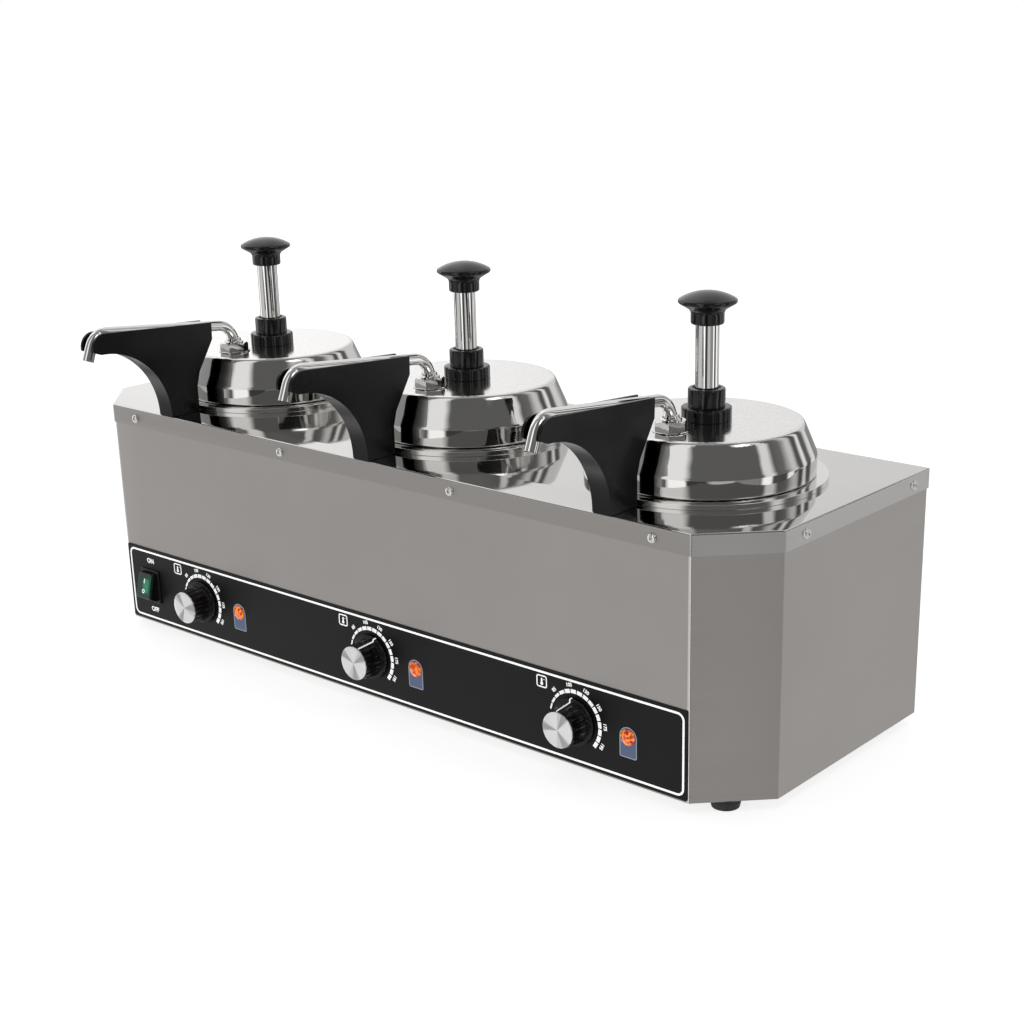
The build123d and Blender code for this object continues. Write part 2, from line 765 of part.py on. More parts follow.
def make_valve_body():
    """Foot of the pump: inlet with four side slots, cylinder socket and riser socket."""
    body = rod(valve_radius, valve_low, valve_top)
    arm = block((-riser_boss, -riser_offset, valve_low), (riser_boss, 0, valve_top))
    boss = Pos(0, -riser_offset, 0) * rod(riser_boss, valve_low, valve_top)
    body += arm + boss
    body -= rod(cylinder_radius + fit, cylinder_bottom, valve_top + 1)
    body -= rod(valve_inlet, valve_low - 1, valve_top)
    slot = block((-valve_slot / 2, -2 * valve_radius, valve_low - 1),
                 (valve_slot / 2, 2 * valve_radius, valve_low + valve_slot_height))
    body -= [slot, Rot(0, 0, 90) * slot]
    return body - Pos(0, -riser_offset, 0) * rod(tube_radius + fit, valve_top - riser_socket, valve_top + 1)


def tube_line():
    """Centre line of the discharge tube in the YZ plane, from the valve body to the nozzle."""
    lean = math.radians(nozzle_lean)
    bottom = valve_top - riser_socket
    tip = (nose_bend_y - nozzle_reach * math.sin(lean), nose_bend_z - nozzle_reach * math.cos(lean))
    corners = [(riser_y, bottom), (riser_y, rear_bend_z), (nose_bend_y, nose_bend_z), tip]
    return Plane.YZ * FilletPolyline(*corners, radius=[rear_bend_radius, nose_bend_radius])


def make_discharge_tube():
    """Riser, bend, run along the guard and nozzle, bent from one pipe."""
    line = tube_line()
    start = Plane(origin=line @ 0, z_dir=line % 0)
    outside = sweep(start * Circle(tube_radius), line)
    return Pos(0, -station_y, 0) * (outside - sweep(start * Circle(tube_bore), line))


def make_tube_nut():
    """Hexagon nut that holds the discharge tube in the lid."""
    hexagon = extrude(RegularPolygon(nut_across_flats / 2, 6, major_radius=False), nut_height)
    corner = nut_across_flats / math.sqrt(3)
    rounded = turned([
        (0, 0), (corner + 1, 0), (corner + 1, nut_height - nut_chamfer - 1),
        (corner - nut_chamfer, nut_height), (0, nut_height),
    ])
    nut = (hexagon & rounded) - rod(tube_radius + fit, -1, nut_height + 1)
    return Pos(0, -riser_offset, lid_top) * nut


def guard_outline():
    """Side view of the spout guard in the YZ plane, its hollow front edge and the whole face."""
    heel = station_y - rim_radius - guard_heel_gap
    arc_middle = front_y - guard_arc
    slope = math.radians(45)
    half_way = (arc_middle + guard_arc * math.cos(slope), guard_foot + guard_arc * math.sin(slope))
    hollow = ThreePointArc((front_y, guard_foot), half_way, (arc_middle, guard_foot + guard_arc))
    nose_z = lid_top + guard_nose_rise
    back_top = (guard_back_y, guard_back_z)
    nose = FilletPolyline(
        hollow @ 1, (guard_nose_y + guard_lip, nose_z), (guard_nose_y, nose_z + guard_lip_rise),
        (guard_nose_y, guard_front_z), back_top,
        radius=[guard_lip_round, guard_edge_round, guard_nose_round],
    )
    rear = Polyline(
        back_top, (guard_back_y - guard_back_lean, guard_back_z - guard_back_drop),
        (guard_back_y - guard_knee_out, guard_knee_z), (heel, guard_knee_z - guard_heel_rise),
        (heel, guard_foot), (front_y, guard_foot),
    )
    return make_face([hollow, *nose.edges(), *rear.edges()])


def guard_pocket(outline):
    """Side view of the hollow between the guard's plates, with its openings to the nose, top and rear."""
    web = Pos(front_y - guard_arc, guard_foot) * Circle(guard_arc + guard_plate)
    chin_y = guard_nose_y + guard_chin
    chin = Pos(chin_y - guard_arc, guard_foot + guard_arc) * Rectangle(2 * guard_arc, 2 * guard_arc)
    floor = Pos(0, guard_foot) * Rectangle(4 * body_depth, 2 * guard_plate)
    reach = guard_plate + 1
    top = make_face(Polyline(
        (guard_nose_y - reach, guard_front_z - guard_mouth), (guard_nose_y - reach, guard_front_z + reach),
        (guard_back_y + reach, guard_front_z + reach), (guard_back_y + reach, guard_back_z - guard_plate),
        (guard_nose_y + guard_nose_round, guard_front_z - 2 * guard_plate), close=True,
    ))
    nose = Pos(chin_y - reach, lid_top + guard_nose_rise) * Rectangle(2 * reach, guard_mouth)
    behind = guard_back_y + reach
    knee_y = guard_back_y - guard_knee_out - 2 * guard_plate
    rear = make_face(Polyline(
        (behind, guard_back_z + reach), (guard_back_y - 2 * guard_plate, guard_back_z - guard_back_drop),
        (knee_y, guard_knee_z), (knee_y, guard_foot + guard_plate), (behind, guard_foot + guard_plate),
        close=True,
    ))
    return (outline - web) + (outline & chin) - floor + top + nose + rear


def make_guard():
    """Two side plates joined by the hollow front web and a floor, with saddles for the tube."""
    outline = guard_outline()
    inside = guard_width / 2 - guard_plate
    guard = extrude(Plane.YZ * outline, guard_width / 2, both=True)
    guard -= extrude(Plane.YZ * guard_pocket(outline), inside, both=True)
    for y in (front_y + saddle_behind, front_y - saddle_beyond):
        guard += saddle(y, inside)
    return Pos(0, -station_y, 0) * guard


def tube_height_at(y):
    """Height of the tube's centre line over its straight run along the guard."""
    share = (riser_y - y) / (riser_y - nose_bend_y)
    return rear_bend_z + share * (nose_bend_z - rear_bend_z)


def saddle(y, inside):
    """Cross web of the guard with a round notch that carries the tube."""
    z = tube_height_at(y)
    web = block((-inside, y - saddle_thick / 2, z - saddle_depth), (inside, y + saddle_thick / 2, z))
    lean = math.degrees(math.atan2(nose_bend_z - rear_bend_z, riser_y - nose_bend_y))
    groove = extrude(Circle(tube_radius + fit), 2 * saddle_thick, both=True)
    return web - Pos(0, y, z) * Rot(90 - lean, 0, 0) * groove


def make_plunger_rod():
    """Polished rod with the piston, its two seal grooves and the stop ring below the bush."""
    radius = cylinder_bore - fit
    groove = radius - piston_groove
    step = piston_height / 5
    points = [(0, piston_low), (radius, piston_low)]
    for i in (1, 3):
        points += [(radius, piston_low + i * step), (groove, piston_low + i * step)]
        points += [(groove, piston_low + (i + 1) * step), (radius, piston_low + (i + 1) * step)]
    stop_top = bush_low - rest_gap
    points += [(radius, piston_top), (rod_radius, piston_top)]
    points += [(rod_radius, stop_top - stop_ring), (radius, stop_top - stop_ring)]
    points += [(radius, stop_top), (rod_radius, stop_top)]
    points += [(rod_radius, knob_bottom + knob_socket), (0, knob_bottom + knob_socket)]
    return turned(points)


def make_plunger_knob():
    """Mushroom knob: neck, flared underside, thin rounded rim and domed top."""
    low = knob_bottom
    neck_top = low + knob_neck_height
    rim = low + knob_head
    crown = rim + knob_rim_height
    top = crown + knob_crown
    side = Polyline(
        (0, top), (0, low), (knob_neck, low), (knob_neck, neck_top), (knob_radius, rim), (knob_radius, crown)
    )
    face = make_face([*side.edges(), dome(knob_radius, crown, top)])
    rounds = {
        (knob_neck, low): knob_neck_edge, (knob_neck, neck_top): knob_neck_round,
        (knob_radius, rim): knob_rim_round, (knob_radius, crown): knob_rim_round,
    }
    for place, radius in rounds.items():
        corner = face.vertices().sort_by_distance(place)[0]
        face = fillet(corner, radius)
    return turned(face) - rod(rod_radius + fit, low - 1, low + knob_socket)


def make_spring():
    """Return spring between the valve body and the piston."""
    low = cylinder_bottom + spring_wire + fit
    height = piston_low - spring_wire - fit - low
    helix = Helix(pitch=height / spring_turns, height=height, radius=spring_radius)
    start = Plane(origin=helix @ 0, z_dir=helix % 0)
    coil = sweep(start * RegularPolygon(spring_wire, 6), helix, is_frenet=True)
    return Pos(0, 0, low) * coil


# ---------------------------------------------------------------- assembly

parts["casing_wrap"] = make_casing_wrap()
parts["top_deck"] = make_top_deck()
parts["back_panel"] = make_back_panel()
parts["base_plate"] = make_base_plate()
parts["control_overlay"] = make_overlay()
parts["rubber_feet"] = Compound(children=[Pos(x, y, 0) * make_foot() for x, y in foot_places()])
case_screws = [
    facing(direction, x, y, z) * pan_screw()
    for x, y, z, direction in deck_screw_places() + back_screw_places()
]
foot_screw = Rot(180, 0, 0) * pan_screw()
foot_screws = [Pos(x, y, foot_recess - foot_height) * foot_screw for x, y in foot_places()]
parts["case_screws"] = Compound(children=case_screws + foot_screws)
parts["cable_gland"] = facing((0, 1, 0), gland_x, half_depth - sheet, gland_z) * make_gland()
parts["terminal_block"] = Pos(terminal_x, terminal_y, 0) * make_terminal_block()
parts["switch_frame"] = front(switch_x, control_z, panel_face) * make_switch_frame()
parts["rocker"] = make_rocker()
parts["rocker_lens"] = make_rocker_lens()
parts["heating_elements"] = Compound(children=[
    Pos(x, station_y, 0) * make_heater() for x in stations.values()
])
parts["thermostats"] = Compound(children=[
    front(x, control_z, panel_face) * make_thermostat() for x in dials.values()
])
parts["heat_lamps"] = Compound(children=[
    front(x + lamp_offset, control_z, panel_face) * make_lamp() for x in dials.values()
])

station_pieces = {
    "water_well": make_well(),
    "pot": make_pot(),
    "lid": make_lid(),
    "fluted_collar": make_collar(),
    "guide_bush": make_bush(),
    "pump_cylinder": make_cylinder(),
    "valve_body": make_valve_body(),
    "discharge_tube": make_discharge_tube(),
    "tube_nut": make_tube_nut(),
    "spout_guard": make_guard(),
    "plunger_rod": make_plunger_rod(),
    "plunger_knob": make_plunger_knob(),
    "return_spring": make_spring(),
}
dial_pieces = {"dial_knob": make_dial(), "dial_cap": make_dial_cap()}

for side, x in stations.items():
    for name, piece in station_pieces.items():
        parts[f"{name}_{side}"] = Pos(x, station_y, 0) * piece
for side, x in dials.items():
    for name, piece in dial_pieces.items():
        turned_piece = Rot(0, 0, dial_angles[side] - 90) * piece
        parts[f"{name}_{side}"] = front(x, control_z, panel_face) * turned_piece

# ---------------------------------------------------------------- placing and writing

boxes = [shape.bounding_box() for shape in parts.values()]
middle_y = (min(box.min.Y for box in boxes) + max(box.max.Y for box in boxes)) / 2
ground = min(box.min.Z for box in boxes)
print(f"origin: y {middle_y:.4f}, z {ground:.4f} of the casing; {len(parts)} nodes")

os.makedirs("parts", exist_ok=True)
for name, shape in parts.items():
    export_step(Pos(0, -middle_y, -ground) * shape, f"parts/{name}.step")
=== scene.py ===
# %% [markdown]
# # Topping warmer with three hand pumps
#
# A long stainless water bath keeps three pots of topping warm. Each pot has a lid, a hand pump and
# a black guard over its spout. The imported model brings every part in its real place, so this lesson
# dresses it: steel, black mouldings, printed panel, lamps, switch and the many small repeated pieces.
# Lengths are metres. +X is right seen from the front, -Y is the front and +Z is up.

# %% Load the warmer
import json
import math
from itertools import pairwise
import bmesh
import bpy
from mathutils import Matrix, Vector


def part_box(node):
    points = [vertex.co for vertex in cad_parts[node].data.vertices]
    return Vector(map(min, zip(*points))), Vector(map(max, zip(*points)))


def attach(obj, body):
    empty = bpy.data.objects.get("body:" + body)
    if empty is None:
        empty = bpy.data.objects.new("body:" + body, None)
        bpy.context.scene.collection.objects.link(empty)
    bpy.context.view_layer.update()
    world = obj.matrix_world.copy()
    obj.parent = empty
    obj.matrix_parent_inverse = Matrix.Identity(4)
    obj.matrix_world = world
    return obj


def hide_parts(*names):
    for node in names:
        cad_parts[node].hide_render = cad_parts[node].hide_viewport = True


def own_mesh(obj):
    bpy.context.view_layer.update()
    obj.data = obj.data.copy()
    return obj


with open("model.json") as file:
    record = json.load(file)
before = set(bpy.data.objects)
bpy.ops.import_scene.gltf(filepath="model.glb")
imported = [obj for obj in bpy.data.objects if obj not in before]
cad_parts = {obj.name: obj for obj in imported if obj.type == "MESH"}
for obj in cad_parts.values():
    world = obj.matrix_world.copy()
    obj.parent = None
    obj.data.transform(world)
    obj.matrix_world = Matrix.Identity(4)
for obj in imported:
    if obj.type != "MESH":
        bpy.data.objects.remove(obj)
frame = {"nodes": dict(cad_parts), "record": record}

scene = bpy.context.scene
nodes = frame["nodes"]
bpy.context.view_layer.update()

# %% [markdown]
# ## Places that the model already knows
#
# A number copied from a drawing goes stale when the drawing changes. The boxes of the loaded pieces
# give the same places for free: the pots give the stations, the knobs give the dials, and the
# overlay gives the panel's face. The record says which body each part rides on, and its finish.

# %% Places read from the model
mm = 0.001
sides = ("left", "centre", "right")


def middle(name):
    """Middle of a loaded piece's box."""
    low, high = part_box(name)
    return (low + high) / 2


stations = {side: middle(f"pot_{side}").xy for side in sides}
dials = {side: Vector((middle(f"dial_knob_{side}").x, middle(f"dial_knob_{side}").z)) for side in sides}
station_pitch = stations["right"].x - stations["centre"].x
station_y = stations["centre"].y
deck_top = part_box("top_deck")[1].z
lid_foot, lid_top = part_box("pot_centre")[1].z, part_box("lid_centre")[1].z
panel_low, panel_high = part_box("control_overlay")
panel_y = panel_low.y
record = frame["record"]
body_of = {part: body for body, parts in record["behaviour"]["bodies"].items() for part in parts}
slot_of = {part["node"]: part["material_slot"] for part in record["subparts"]}
print("stations every", round(station_pitch, 4), "deck", round(deck_top, 4), "panel", round(panel_y, 4))

# %% [markdown]
# ## A few helpers for every node tree
#
# Shader trees and geometry trees are wired the same way. One helper adds a node and fills its
# inputs: a number or a colour is set, another node's socket is linked. The others are short names
# for the sums and vectors that both kinds of tree need all the time.

# %% Node helpers
def node(tree, kind, inputs=(), **settings):
    """Adds a node to a tree; each input is a value, or a socket to link from."""
    made = tree.nodes.new(kind)
    for key, value in settings.items():
        setattr(made, key, value)
    for key, value in dict(inputs).items():
        if isinstance(value, bpy.types.NodeSocket):
            tree.links.new(value, made.inputs[key])
        else:
            made.inputs[key].default_value = value
    return made


def first(tree, kind, inputs=(), **settings):
    """Adds a node in the same way and gives its first output."""
    return node(tree, kind, inputs, **settings).outputs[0]


def calculate(tree, operation, *values):
    """One math node and its result."""
    return first(tree, "ShaderNodeMath", enumerate(values), operation=operation)


def product(tree, value, *others):
    """Several numbers multiplied."""
    for other in others:
        value = calculate(tree, "MULTIPLY", value, other)
    return value


def distance(tree, value, place):
    """How far a number lies from another, either way."""
    return calculate(tree, "ABSOLUTE", calculate(tree, "SUBTRACT", value, place))


def xyz(tree, places):
    """The X, Y and Z of a vector."""
    return node(tree, "ShaderNodeSeparateXYZ", {"Vector": places}).outputs


def vector(tree, x=0.0, y=0.0, z=0.0):
    """A vector from its parts."""
    return first(tree, "ShaderNodeCombineXYZ", {"X": x, "Y": y, "Z": z})


def length(tree, measured):
    """A vector's length."""
    return node(tree, "ShaderNodeVectorMath", {0: measured}, operation="LENGTH").outputs["Value"]


def mix(tree, share, low, high):
    """A number between two others."""
    return node(tree, "ShaderNodeMix", {"Factor": share, "A": low, "B": high}).outputs["Result"]


def tint(tree, share, dark, light):
    """A colour between two others."""
    tones = [tone if isinstance(tone, bpy.types.NodeSocket) else (*tone, 1) for tone in (dark, light)]
    inputs = {"Factor": share, "A": tones[0], "B": tones[1]}
    return node(tree, "ShaderNodeMix", inputs, data_type="RGBA").outputs["Result"]


def between(tree, value, low, high, start=0.3, end=0.7):
    """Goes from low to high while a value goes from start to end."""
    inputs = {"Value": value, "From Min": start, "From Max": end, "To Min": low, "To Max": high}
    return first(tree, "ShaderNodeMapRange", inputs)


print("node helpers ready")

# %% [markdown]
# ## Brushed steel
#
# The casing is satin sheet, rubbed along its length by a belt. Real grain is far too fine to model,
# so a noise pattern is stretched until it becomes lines. It drives the roughness and a tiny bump,
# and a slow second noise clouds the colour as fingers and cleaning do.

# %% Material helpers
def shader_of(material):
    """The material's one shader."""
    return material.node_tree.nodes["Principled BSDF"]


def plain(name, colour, metallic=0.0, roughness=0.5, **sockets):
    """A material with constant values on the shader's own sockets."""
    material = bpy.data.materials.new(name)
    material.use_nodes = True
    values = {"Base Color": (*colour, 1), "Metallic": metallic, "Roughness": roughness, **sockets}
    for socket, value in values.items():
        shader_of(material).inputs[socket.replace("_", " ")].default_value = value
    return material


def object_places(tree, stretch=(1, 1, 1)):
    """Object coordinates, scaled along each axis."""
    where = node(tree, "ShaderNodeTexCoord").outputs["Object"]
    return first(tree, "ShaderNodeMapping", {"Vector": where, "Scale": stretch})


def noise(tree, where, scale=1.0, detail=3.0):
    """Noise value at the given places."""
    return first(tree, "ShaderNodeTexNoise", {"Vector": where, "Scale": scale, "Detail": detail})


def clouded(tree, clouds, colour, darker, lighter):
    """A colour that drifts between a darker and a lighter tone of itself."""
    tones = [[min(part * share, 1) for part in colour] for share in (darker, lighter)]
    return tint(tree, clouds, *tones)


def finish_surface(material, height, rough, depth, colour):
    """Links a height, a roughness and a colour to the material's shader."""
    tree = material.node_tree
    bump = node(tree, "ShaderNodeBump", {"Height": height, "Strength": 1.0, "Distance": depth})
    for socket, value in (("Normal", bump.outputs["Normal"]), ("Roughness", rough), ("Base Color", colour)):
        tree.links.new(value, shader_of(material).inputs[socket])


def overlay_finish(material, mask, colour, rough):
    """Another colour and roughness on a finished material, where the mask is 1."""
    tree = material.node_tree
    for key, blend, value in (("Base Color", tint, colour), ("Roughness", mix, rough)):
        socket = shader_of(material).inputs[key]
        tree.links.new(blend(tree, mask, socket.links[0].from_socket, value), socket)


def brushed(name, colour, rough, stretch, depth=0.010 * mm, cloud=0.06):
    """Metal sheet with grain lines; stretch is large across the grain, cloud is the drift of its tone."""
    material = plain(name, colour, 1.0)
    tree = material.node_tree
    lines = noise(tree, object_places(tree, stretch), detail=4.0)
    colours = clouded(tree, noise(tree, object_places(tree), 9.0), colour, 1 - cloud, 1 + cloud)
    finish_surface(material, lines, between(tree, lines, *rough), depth, colours)
    return material


print("material helpers ready")

# %% Sheet metals
grain_along_x, grain_along_y = (3, 3, 1400), (1400, 3, 3)
casing_steel = brushed("casing_steel", (0.50, 0.475, 0.455), (0.30, 0.40), grain_along_x)
back_steel = brushed("back_steel", (0.50, 0.49, 0.475), (0.30, 0.40), grain_along_x)
base_steel = brushed("base_steel", (0.50, 0.49, 0.475), (0.34, 0.44), grain_along_y)
print("sheet metals ready")

# %% [markdown]
# ## Painted highlight down the bends
#
# A folded bend catches the light and draws a bright line down the corner, and here that line is
# painted in. The bends stand where the flat front ends, so a narrow band of x on either side of the
# middle marks them, and there the steel turns smoother and is painted paler as a painted highlight.

# %% Bends of the casing
casing = nodes["casing_wrap"].data
front_y = min(v.co.y for v in casing.vertices)
bend_x = max(v.co.x for v in casing.vertices if v.co.y < front_y + 0.01 * mm)
tree = casing_steel.node_tree
from_middle = distance(tree, xyz(tree, object_places(tree))["X"], 0.0)
# painted highlight: paler colour and smoother steel along each bend
bend_highlight = between(tree, distance(tree, from_middle, bend_x), 1.0, 0.0, 0.5 * mm, 1.3 * mm)
overlay_finish(casing_steel, bend_highlight, (0.80, 0.79, 0.78), 0.12)
print("front bends at", round(bend_x, 4), "either side")

# %% [markdown]
# ## The deck
#
# The deck is polished until the lids mirror in it, but its folded lip keeps the casing's satin.
# Two materials would need a cut in the mesh. One material can tell them apart by height instead:
# below the deck's face it turns rougher and darker. The lip's two tones are painted light by facing:
# its ends, which face the sides, are painted paler than its front, and the normal's share along x
# picks between them.

# %% Deck material
lip_starts = deck_top - 0.9 * mm
deck_steel = plain("deck_steel", (0.7, 0.7, 0.7), 1.0)
tree = deck_steel.node_tree
lines = noise(tree, object_places(tree, (3, 1200, 1200)), detail=4.0)
# painted light by facing: the lip's ends are painted paler, its front darker
to_side = distance(tree, xyz(tree, node(tree, "ShaderNodeTexCoord").outputs["Normal"])["X"], 0.0)
lip_painted_by_facing = tint(tree, to_side, (0.44, 0.415, 0.395), (0.62, 0.61, 0.60))
finish_surface(deck_steel, lines, between(tree, lines, 0.30, 0.38), 0.003 * mm, lip_painted_by_facing)
on_top = between(tree, xyz(tree, object_places(tree))["Z"], 0.0, 1.0, lip_starts - 0.4 * mm, lip_starts)
top = tint(tree, noise(tree, object_places(tree), 7.0), (0.60, 0.59, 0.575), (0.68, 0.67, 0.655))
overlay_finish(deck_steel, on_top, top, between(tree, lines, 0.035, 0.065))
print("deck turns satin below", round(lip_starts, 4))

# %% [markdown]
# ## Spun steel
#
# Pots, lids and caps are spun or turned, so their grain runs in rings. Rings need a centre. The
# three stations stand at one pitch, so wrapping x by that pitch gives every station its own centre,
# and one material serves all. The same centre gives the direction round the axis, which the
# anisotropic gloss follows: it pulls a highlight into the soft bars that polished lids show.

# %% Spun steels
rings_per_metre = 1500.0


def spun(name, colour, rough, depth, anisotropic=0.5):
    """Metal with fine rings about the nearest station's axis."""
    material = plain(name, colour, 1.0, Anisotropic=anisotropic)
    tree = material.node_tree
    place = xyz(tree, object_places(tree))
    x = calculate(tree, "WRAP", place["X"], station_pitch / 2, -station_pitch / 2)
    y = calculate(tree, "SUBTRACT", place["Y"], station_y)
    across = product(tree, length(tree, vector(tree, x, y)), rings_per_metre)
    upward = product(tree, place["Z"], rings_per_metre)
    rings = noise(tree, vector(tree, across, upward, calculate(tree, "ARCTAN2", y, x)))
    colours = clouded(tree, noise(tree, object_places(tree), 14.0), colour, 0.94, 1.04)
    finish_surface(material, rings, between(tree, rings, *rough), depth, colours)
    tree.links.new(vector(tree, product(tree, y, -1.0), x), shader_of(material).inputs["Tangent"])
    return material


lid_steel = spun("lid_steel", (0.62, 0.61, 0.595), (0.030, 0.055), 0.0015 * mm, 0.3)
pot_steel = spun("pot_steel", (0.76, 0.75, 0.735), (0.08, 0.15), 0.003 * mm)
well_steel = spun("well_steel", (0.60, 0.595, 0.58), (0.26, 0.36), 0.006 * mm)
chrome = spun("chrome", (0.80, 0.79, 0.775), (0.035, 0.06), 0.0006 * mm, 0.0)
print("spun steels ready")

# %% [markdown]
# ## Satin top on a polished lid
#
# The lid's side and shoulder are polished, but its flat top is left satin with a fine speckle. Its tone
# is also painted much paler than the side, as painted light on the top. As on the deck, the height on
# the lid tells the two apart inside one material.

# %% Lid's top
tree = lid_steel.node_tree
on_top = between(tree, xyz(tree, object_places(tree))["Z"], 0.0, 1.0, lid_top - 1.2 * mm, lid_top - 0.4 * mm)
speckle = between(tree, noise(tree, object_places(tree), 520.0, 2.0), 0.0, 1.0, 0.35, 0.65)
# the speckle is the satin finish; the paler tone is painted light on the top
speckled_top_painted_paler = tint(tree, speckle, (0.80, 0.785, 0.76), (0.90, 0.885, 0.865))
overlay_finish(lid_steel, on_top, speckled_top_painted_paler, between(tree, speckle, 0.10, 0.17, 0.0, 1.0))
print("lid turns satin above", round(lid_top - 1.2 * mm, 4))

# %% [markdown]
# ## Black mouldings, rubber and small metals
#
# Injection moulded black is never one black: it has a fine spark grain, rubbed places that shine
# more, and a little dust. A fine noise makes the grain and a broad one moves the gloss.

# %% Moulding materials
def moulded(name, colour, rough, grain_scale, depth, lift=0.35, **sockets):
    """Moulded plastic, rubber or ink with a fine surface grain; depth in millimetres."""
    material = plain(name, colour, 0.0, **sockets)
    tree = material.node_tree
    fine = noise(tree, object_places(tree), grain_scale, 2.0)
    broad = noise(tree, object_places(tree), 35.0)
    colours = clouded(tree, broad, colour, 1 - lift, 1 + lift)
    finish_surface(material, fine, between(tree, broad, *rough), depth * mm, colours)
    return material


black_moulding = moulded("black_moulding", (0.004, 0.004, 0.0045), (0.17, 0.27), 2600, 0.012,
                         Specular_IOR_Level=0.28)
black_gloss = moulded("black_gloss", (0.005, 0.005, 0.0055), (0.10, 0.18), 900, 0.004)
knob_gloss = moulded("knob_gloss", (0.004, 0.004, 0.0045), (0.12, 0.20), 1500, 0.003, Specular_IOR_Level=0.35)
overlay_film = moulded("overlay_film", (0.007, 0.007, 0.0075), (0.34, 0.46), 3200, 0.015, 0.15,
                       Specular_IOR_Level=0.22)
rubber = moulded("rubber", (0.018, 0.018, 0.018), (0.55, 0.75), 1800, 0.05)
pale_insulation = moulded("pale_insulation", (0.62, 0.60, 0.54), (0.45, 0.6), 1500, 0.03, 0.08)
cast_aluminium = moulded("cast_aluminium", (0.42, 0.42, 0.42), (0.40, 0.55), 1300, 0.06, 0.10, Metallic=1.0)
painted_case = moulded("painted_case", (0.33, 0.33, 0.34), (0.42, 0.52), 2200, 0.02, 0.10)
screw_zinc = moulded("screw_zinc", (0.86, 0.86, 0.85), (0.22, 0.34), 1200, 0.01, 0.06, Metallic=1.0)
spring_wire = moulded("spring_wire", (0.50, 0.49, 0.48), (0.20, 0.30), 1500, 0.01, 0.08, Metallic=1.0)
# the white ink glows a little so that it reads brighter: painted light, since ink is no lamp
glowing_white_ink = moulded("glowing_white_ink", (0.93, 0.93, 0.92), (0.45, 0.55), 3000, 0.01, 0.04,
                    Emission_Color=(1, 1, 1, 1), Emission_Strength=0.40)
pale_edge_ink = moulded("pale_edge_ink", (0.42, 0.48, 0.60), (0.45, 0.55), 3000, 0.01, 0.06)
badge_ink = moulded("badge_ink", (0.11, 0.155, 0.27), (0.40, 0.50), 3000, 0.01, 0.08)
print("mouldings and small metals ready")

# %% [markdown]
# ## Dressing the loaded parts
#
# A part whose shape is already right keeps its own mesh and only gets a material. The table says
# which finish each kind of part takes; the side at the end of a name is left out.

# %% Materials of the loaded parts
finish_of = {
    "casing_wrap": casing_steel, "top_deck": deck_steel, "back_panel": back_steel,
    "base_plate": base_steel, "control_overlay": overlay_film, "rubber_feet": rubber,
    "case_screws": screw_zinc, "cable_gland": black_moulding, "terminal_block": pale_insulation,
    "switch_frame": black_gloss, "rocker": black_gloss, "rocker_lens": black_gloss,
    "heating_elements": cast_aluminium, "thermostats": painted_case, "heat_lamps": black_gloss,
    "water_well": well_steel, "pot": pot_steel, "lid": lid_steel, "fluted_collar": black_gloss,
    "guide_bush": black_gloss, "pump_cylinder": pot_steel, "valve_body": black_moulding,
    "discharge_tube": chrome, "tube_nut": chrome, "spout_guard": black_moulding,
    "plunger_rod": chrome, "plunger_knob": black_gloss, "return_spring": spring_wire,
    "dial_knob": black_moulding, "dial_cap": screw_zinc,
}
for name, part in nodes.items():
    stem, _, side = name.rpartition("_")
    part.data.materials.clear()
    part.data.materials.append(finish_of[stem if side in sides else name])
print("dressed", len(nodes), "parts")

# %% [markdown]
# ## Making and placing pieces
#
# Every new piece is finished as a mesh first, with its place in its vertices and its object at the
# origin. Then it rides on a body, so that it moves with the lid, dial or plunger that carries it. A
# piece made in place of a loaded part takes that part's body from the record.

# %% Piece helpers
def new_object(name, data):
    """An object in the scene."""
    thing = bpy.data.objects.new(name, data)
    scene.collection.objects.link(thing)
    return thing


def add_piece(name, mesh, body, finish, *stood_for):
    """A new piece that rides on a body, and stands for loaded parts where any are named."""
    thing = new_object(name, mesh)
    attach(thing, body)
    if stood_for:
        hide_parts(*stood_for)
    return thing


def add_stand_in(name, mesh, part):
    """A new piece in place of one loaded part."""
    return add_piece(name, mesh, body_of[part], slot_of[part], part)


def smoothed(mesh, crisp):
    """The mesh with smooth shading, apart from edges above an angle."""
    mesh.polygons.foreach_set("use_smooth", [True] * len(mesh.polygons))
    mesh.set_sharp_from_angle(angle=math.radians(crisp))
    return mesh


def to_mesh(shape, material, crisp=30.0):
    """Edited geometry as a mesh: doubles merged, faces outward, edges above an angle kept crisp."""
    bmesh.ops.remove_doubles(shape, verts=shape.verts, dist=0.001 * mm)
    bmesh.ops.recalc_face_normals(shape, faces=shape.faces)
    mesh = bpy.data.meshes.new("piece")
    shape.to_mesh(mesh)
    shape.free()
    mesh.materials.append(material)
    return smoothed(mesh, crisp)


def moved_copy(mesh, place):
    """A copy of a mesh, moved by a matrix or by (x, y, z)."""
    copy = mesh.copy()
    copy.transform(place if isinstance(place, Matrix) else Matrix.Translation(place))
    return copy


def joined(placed):
    """One mesh from several (mesh, place) pairs, with the first one's material."""
    shape = bmesh.new()
    for mesh, place in placed:
        shape.from_mesh(moved_copy(mesh, place))
    return to_mesh(shape, placed[0][0].materials[0])


def bridge(shape, rows, ends):
    """Joins rows of points by faces; the ends are open, capped, or joined to make a ring."""
    for low, high in zip(rows, rows[1:] + (rows[:1] if ends == "ring" else [])):
        for i in range(len(low)):
            shape.faces.new((low[i - 1], low[i], high[i], high[i - 1]))
    if ends == "capped":
        shape.faces.new(rows[0])
        shape.faces.new(rows[-1][::-1])


def evaluated_mesh(thing):
    """The mesh that an object's modifiers make, as a plain mesh; the object goes."""
    mesh = bpy.data.meshes.new_from_object(thing.evaluated_get(bpy.context.evaluated_depsgraph_get()))
    bpy.data.objects.remove(thing)
    return mesh


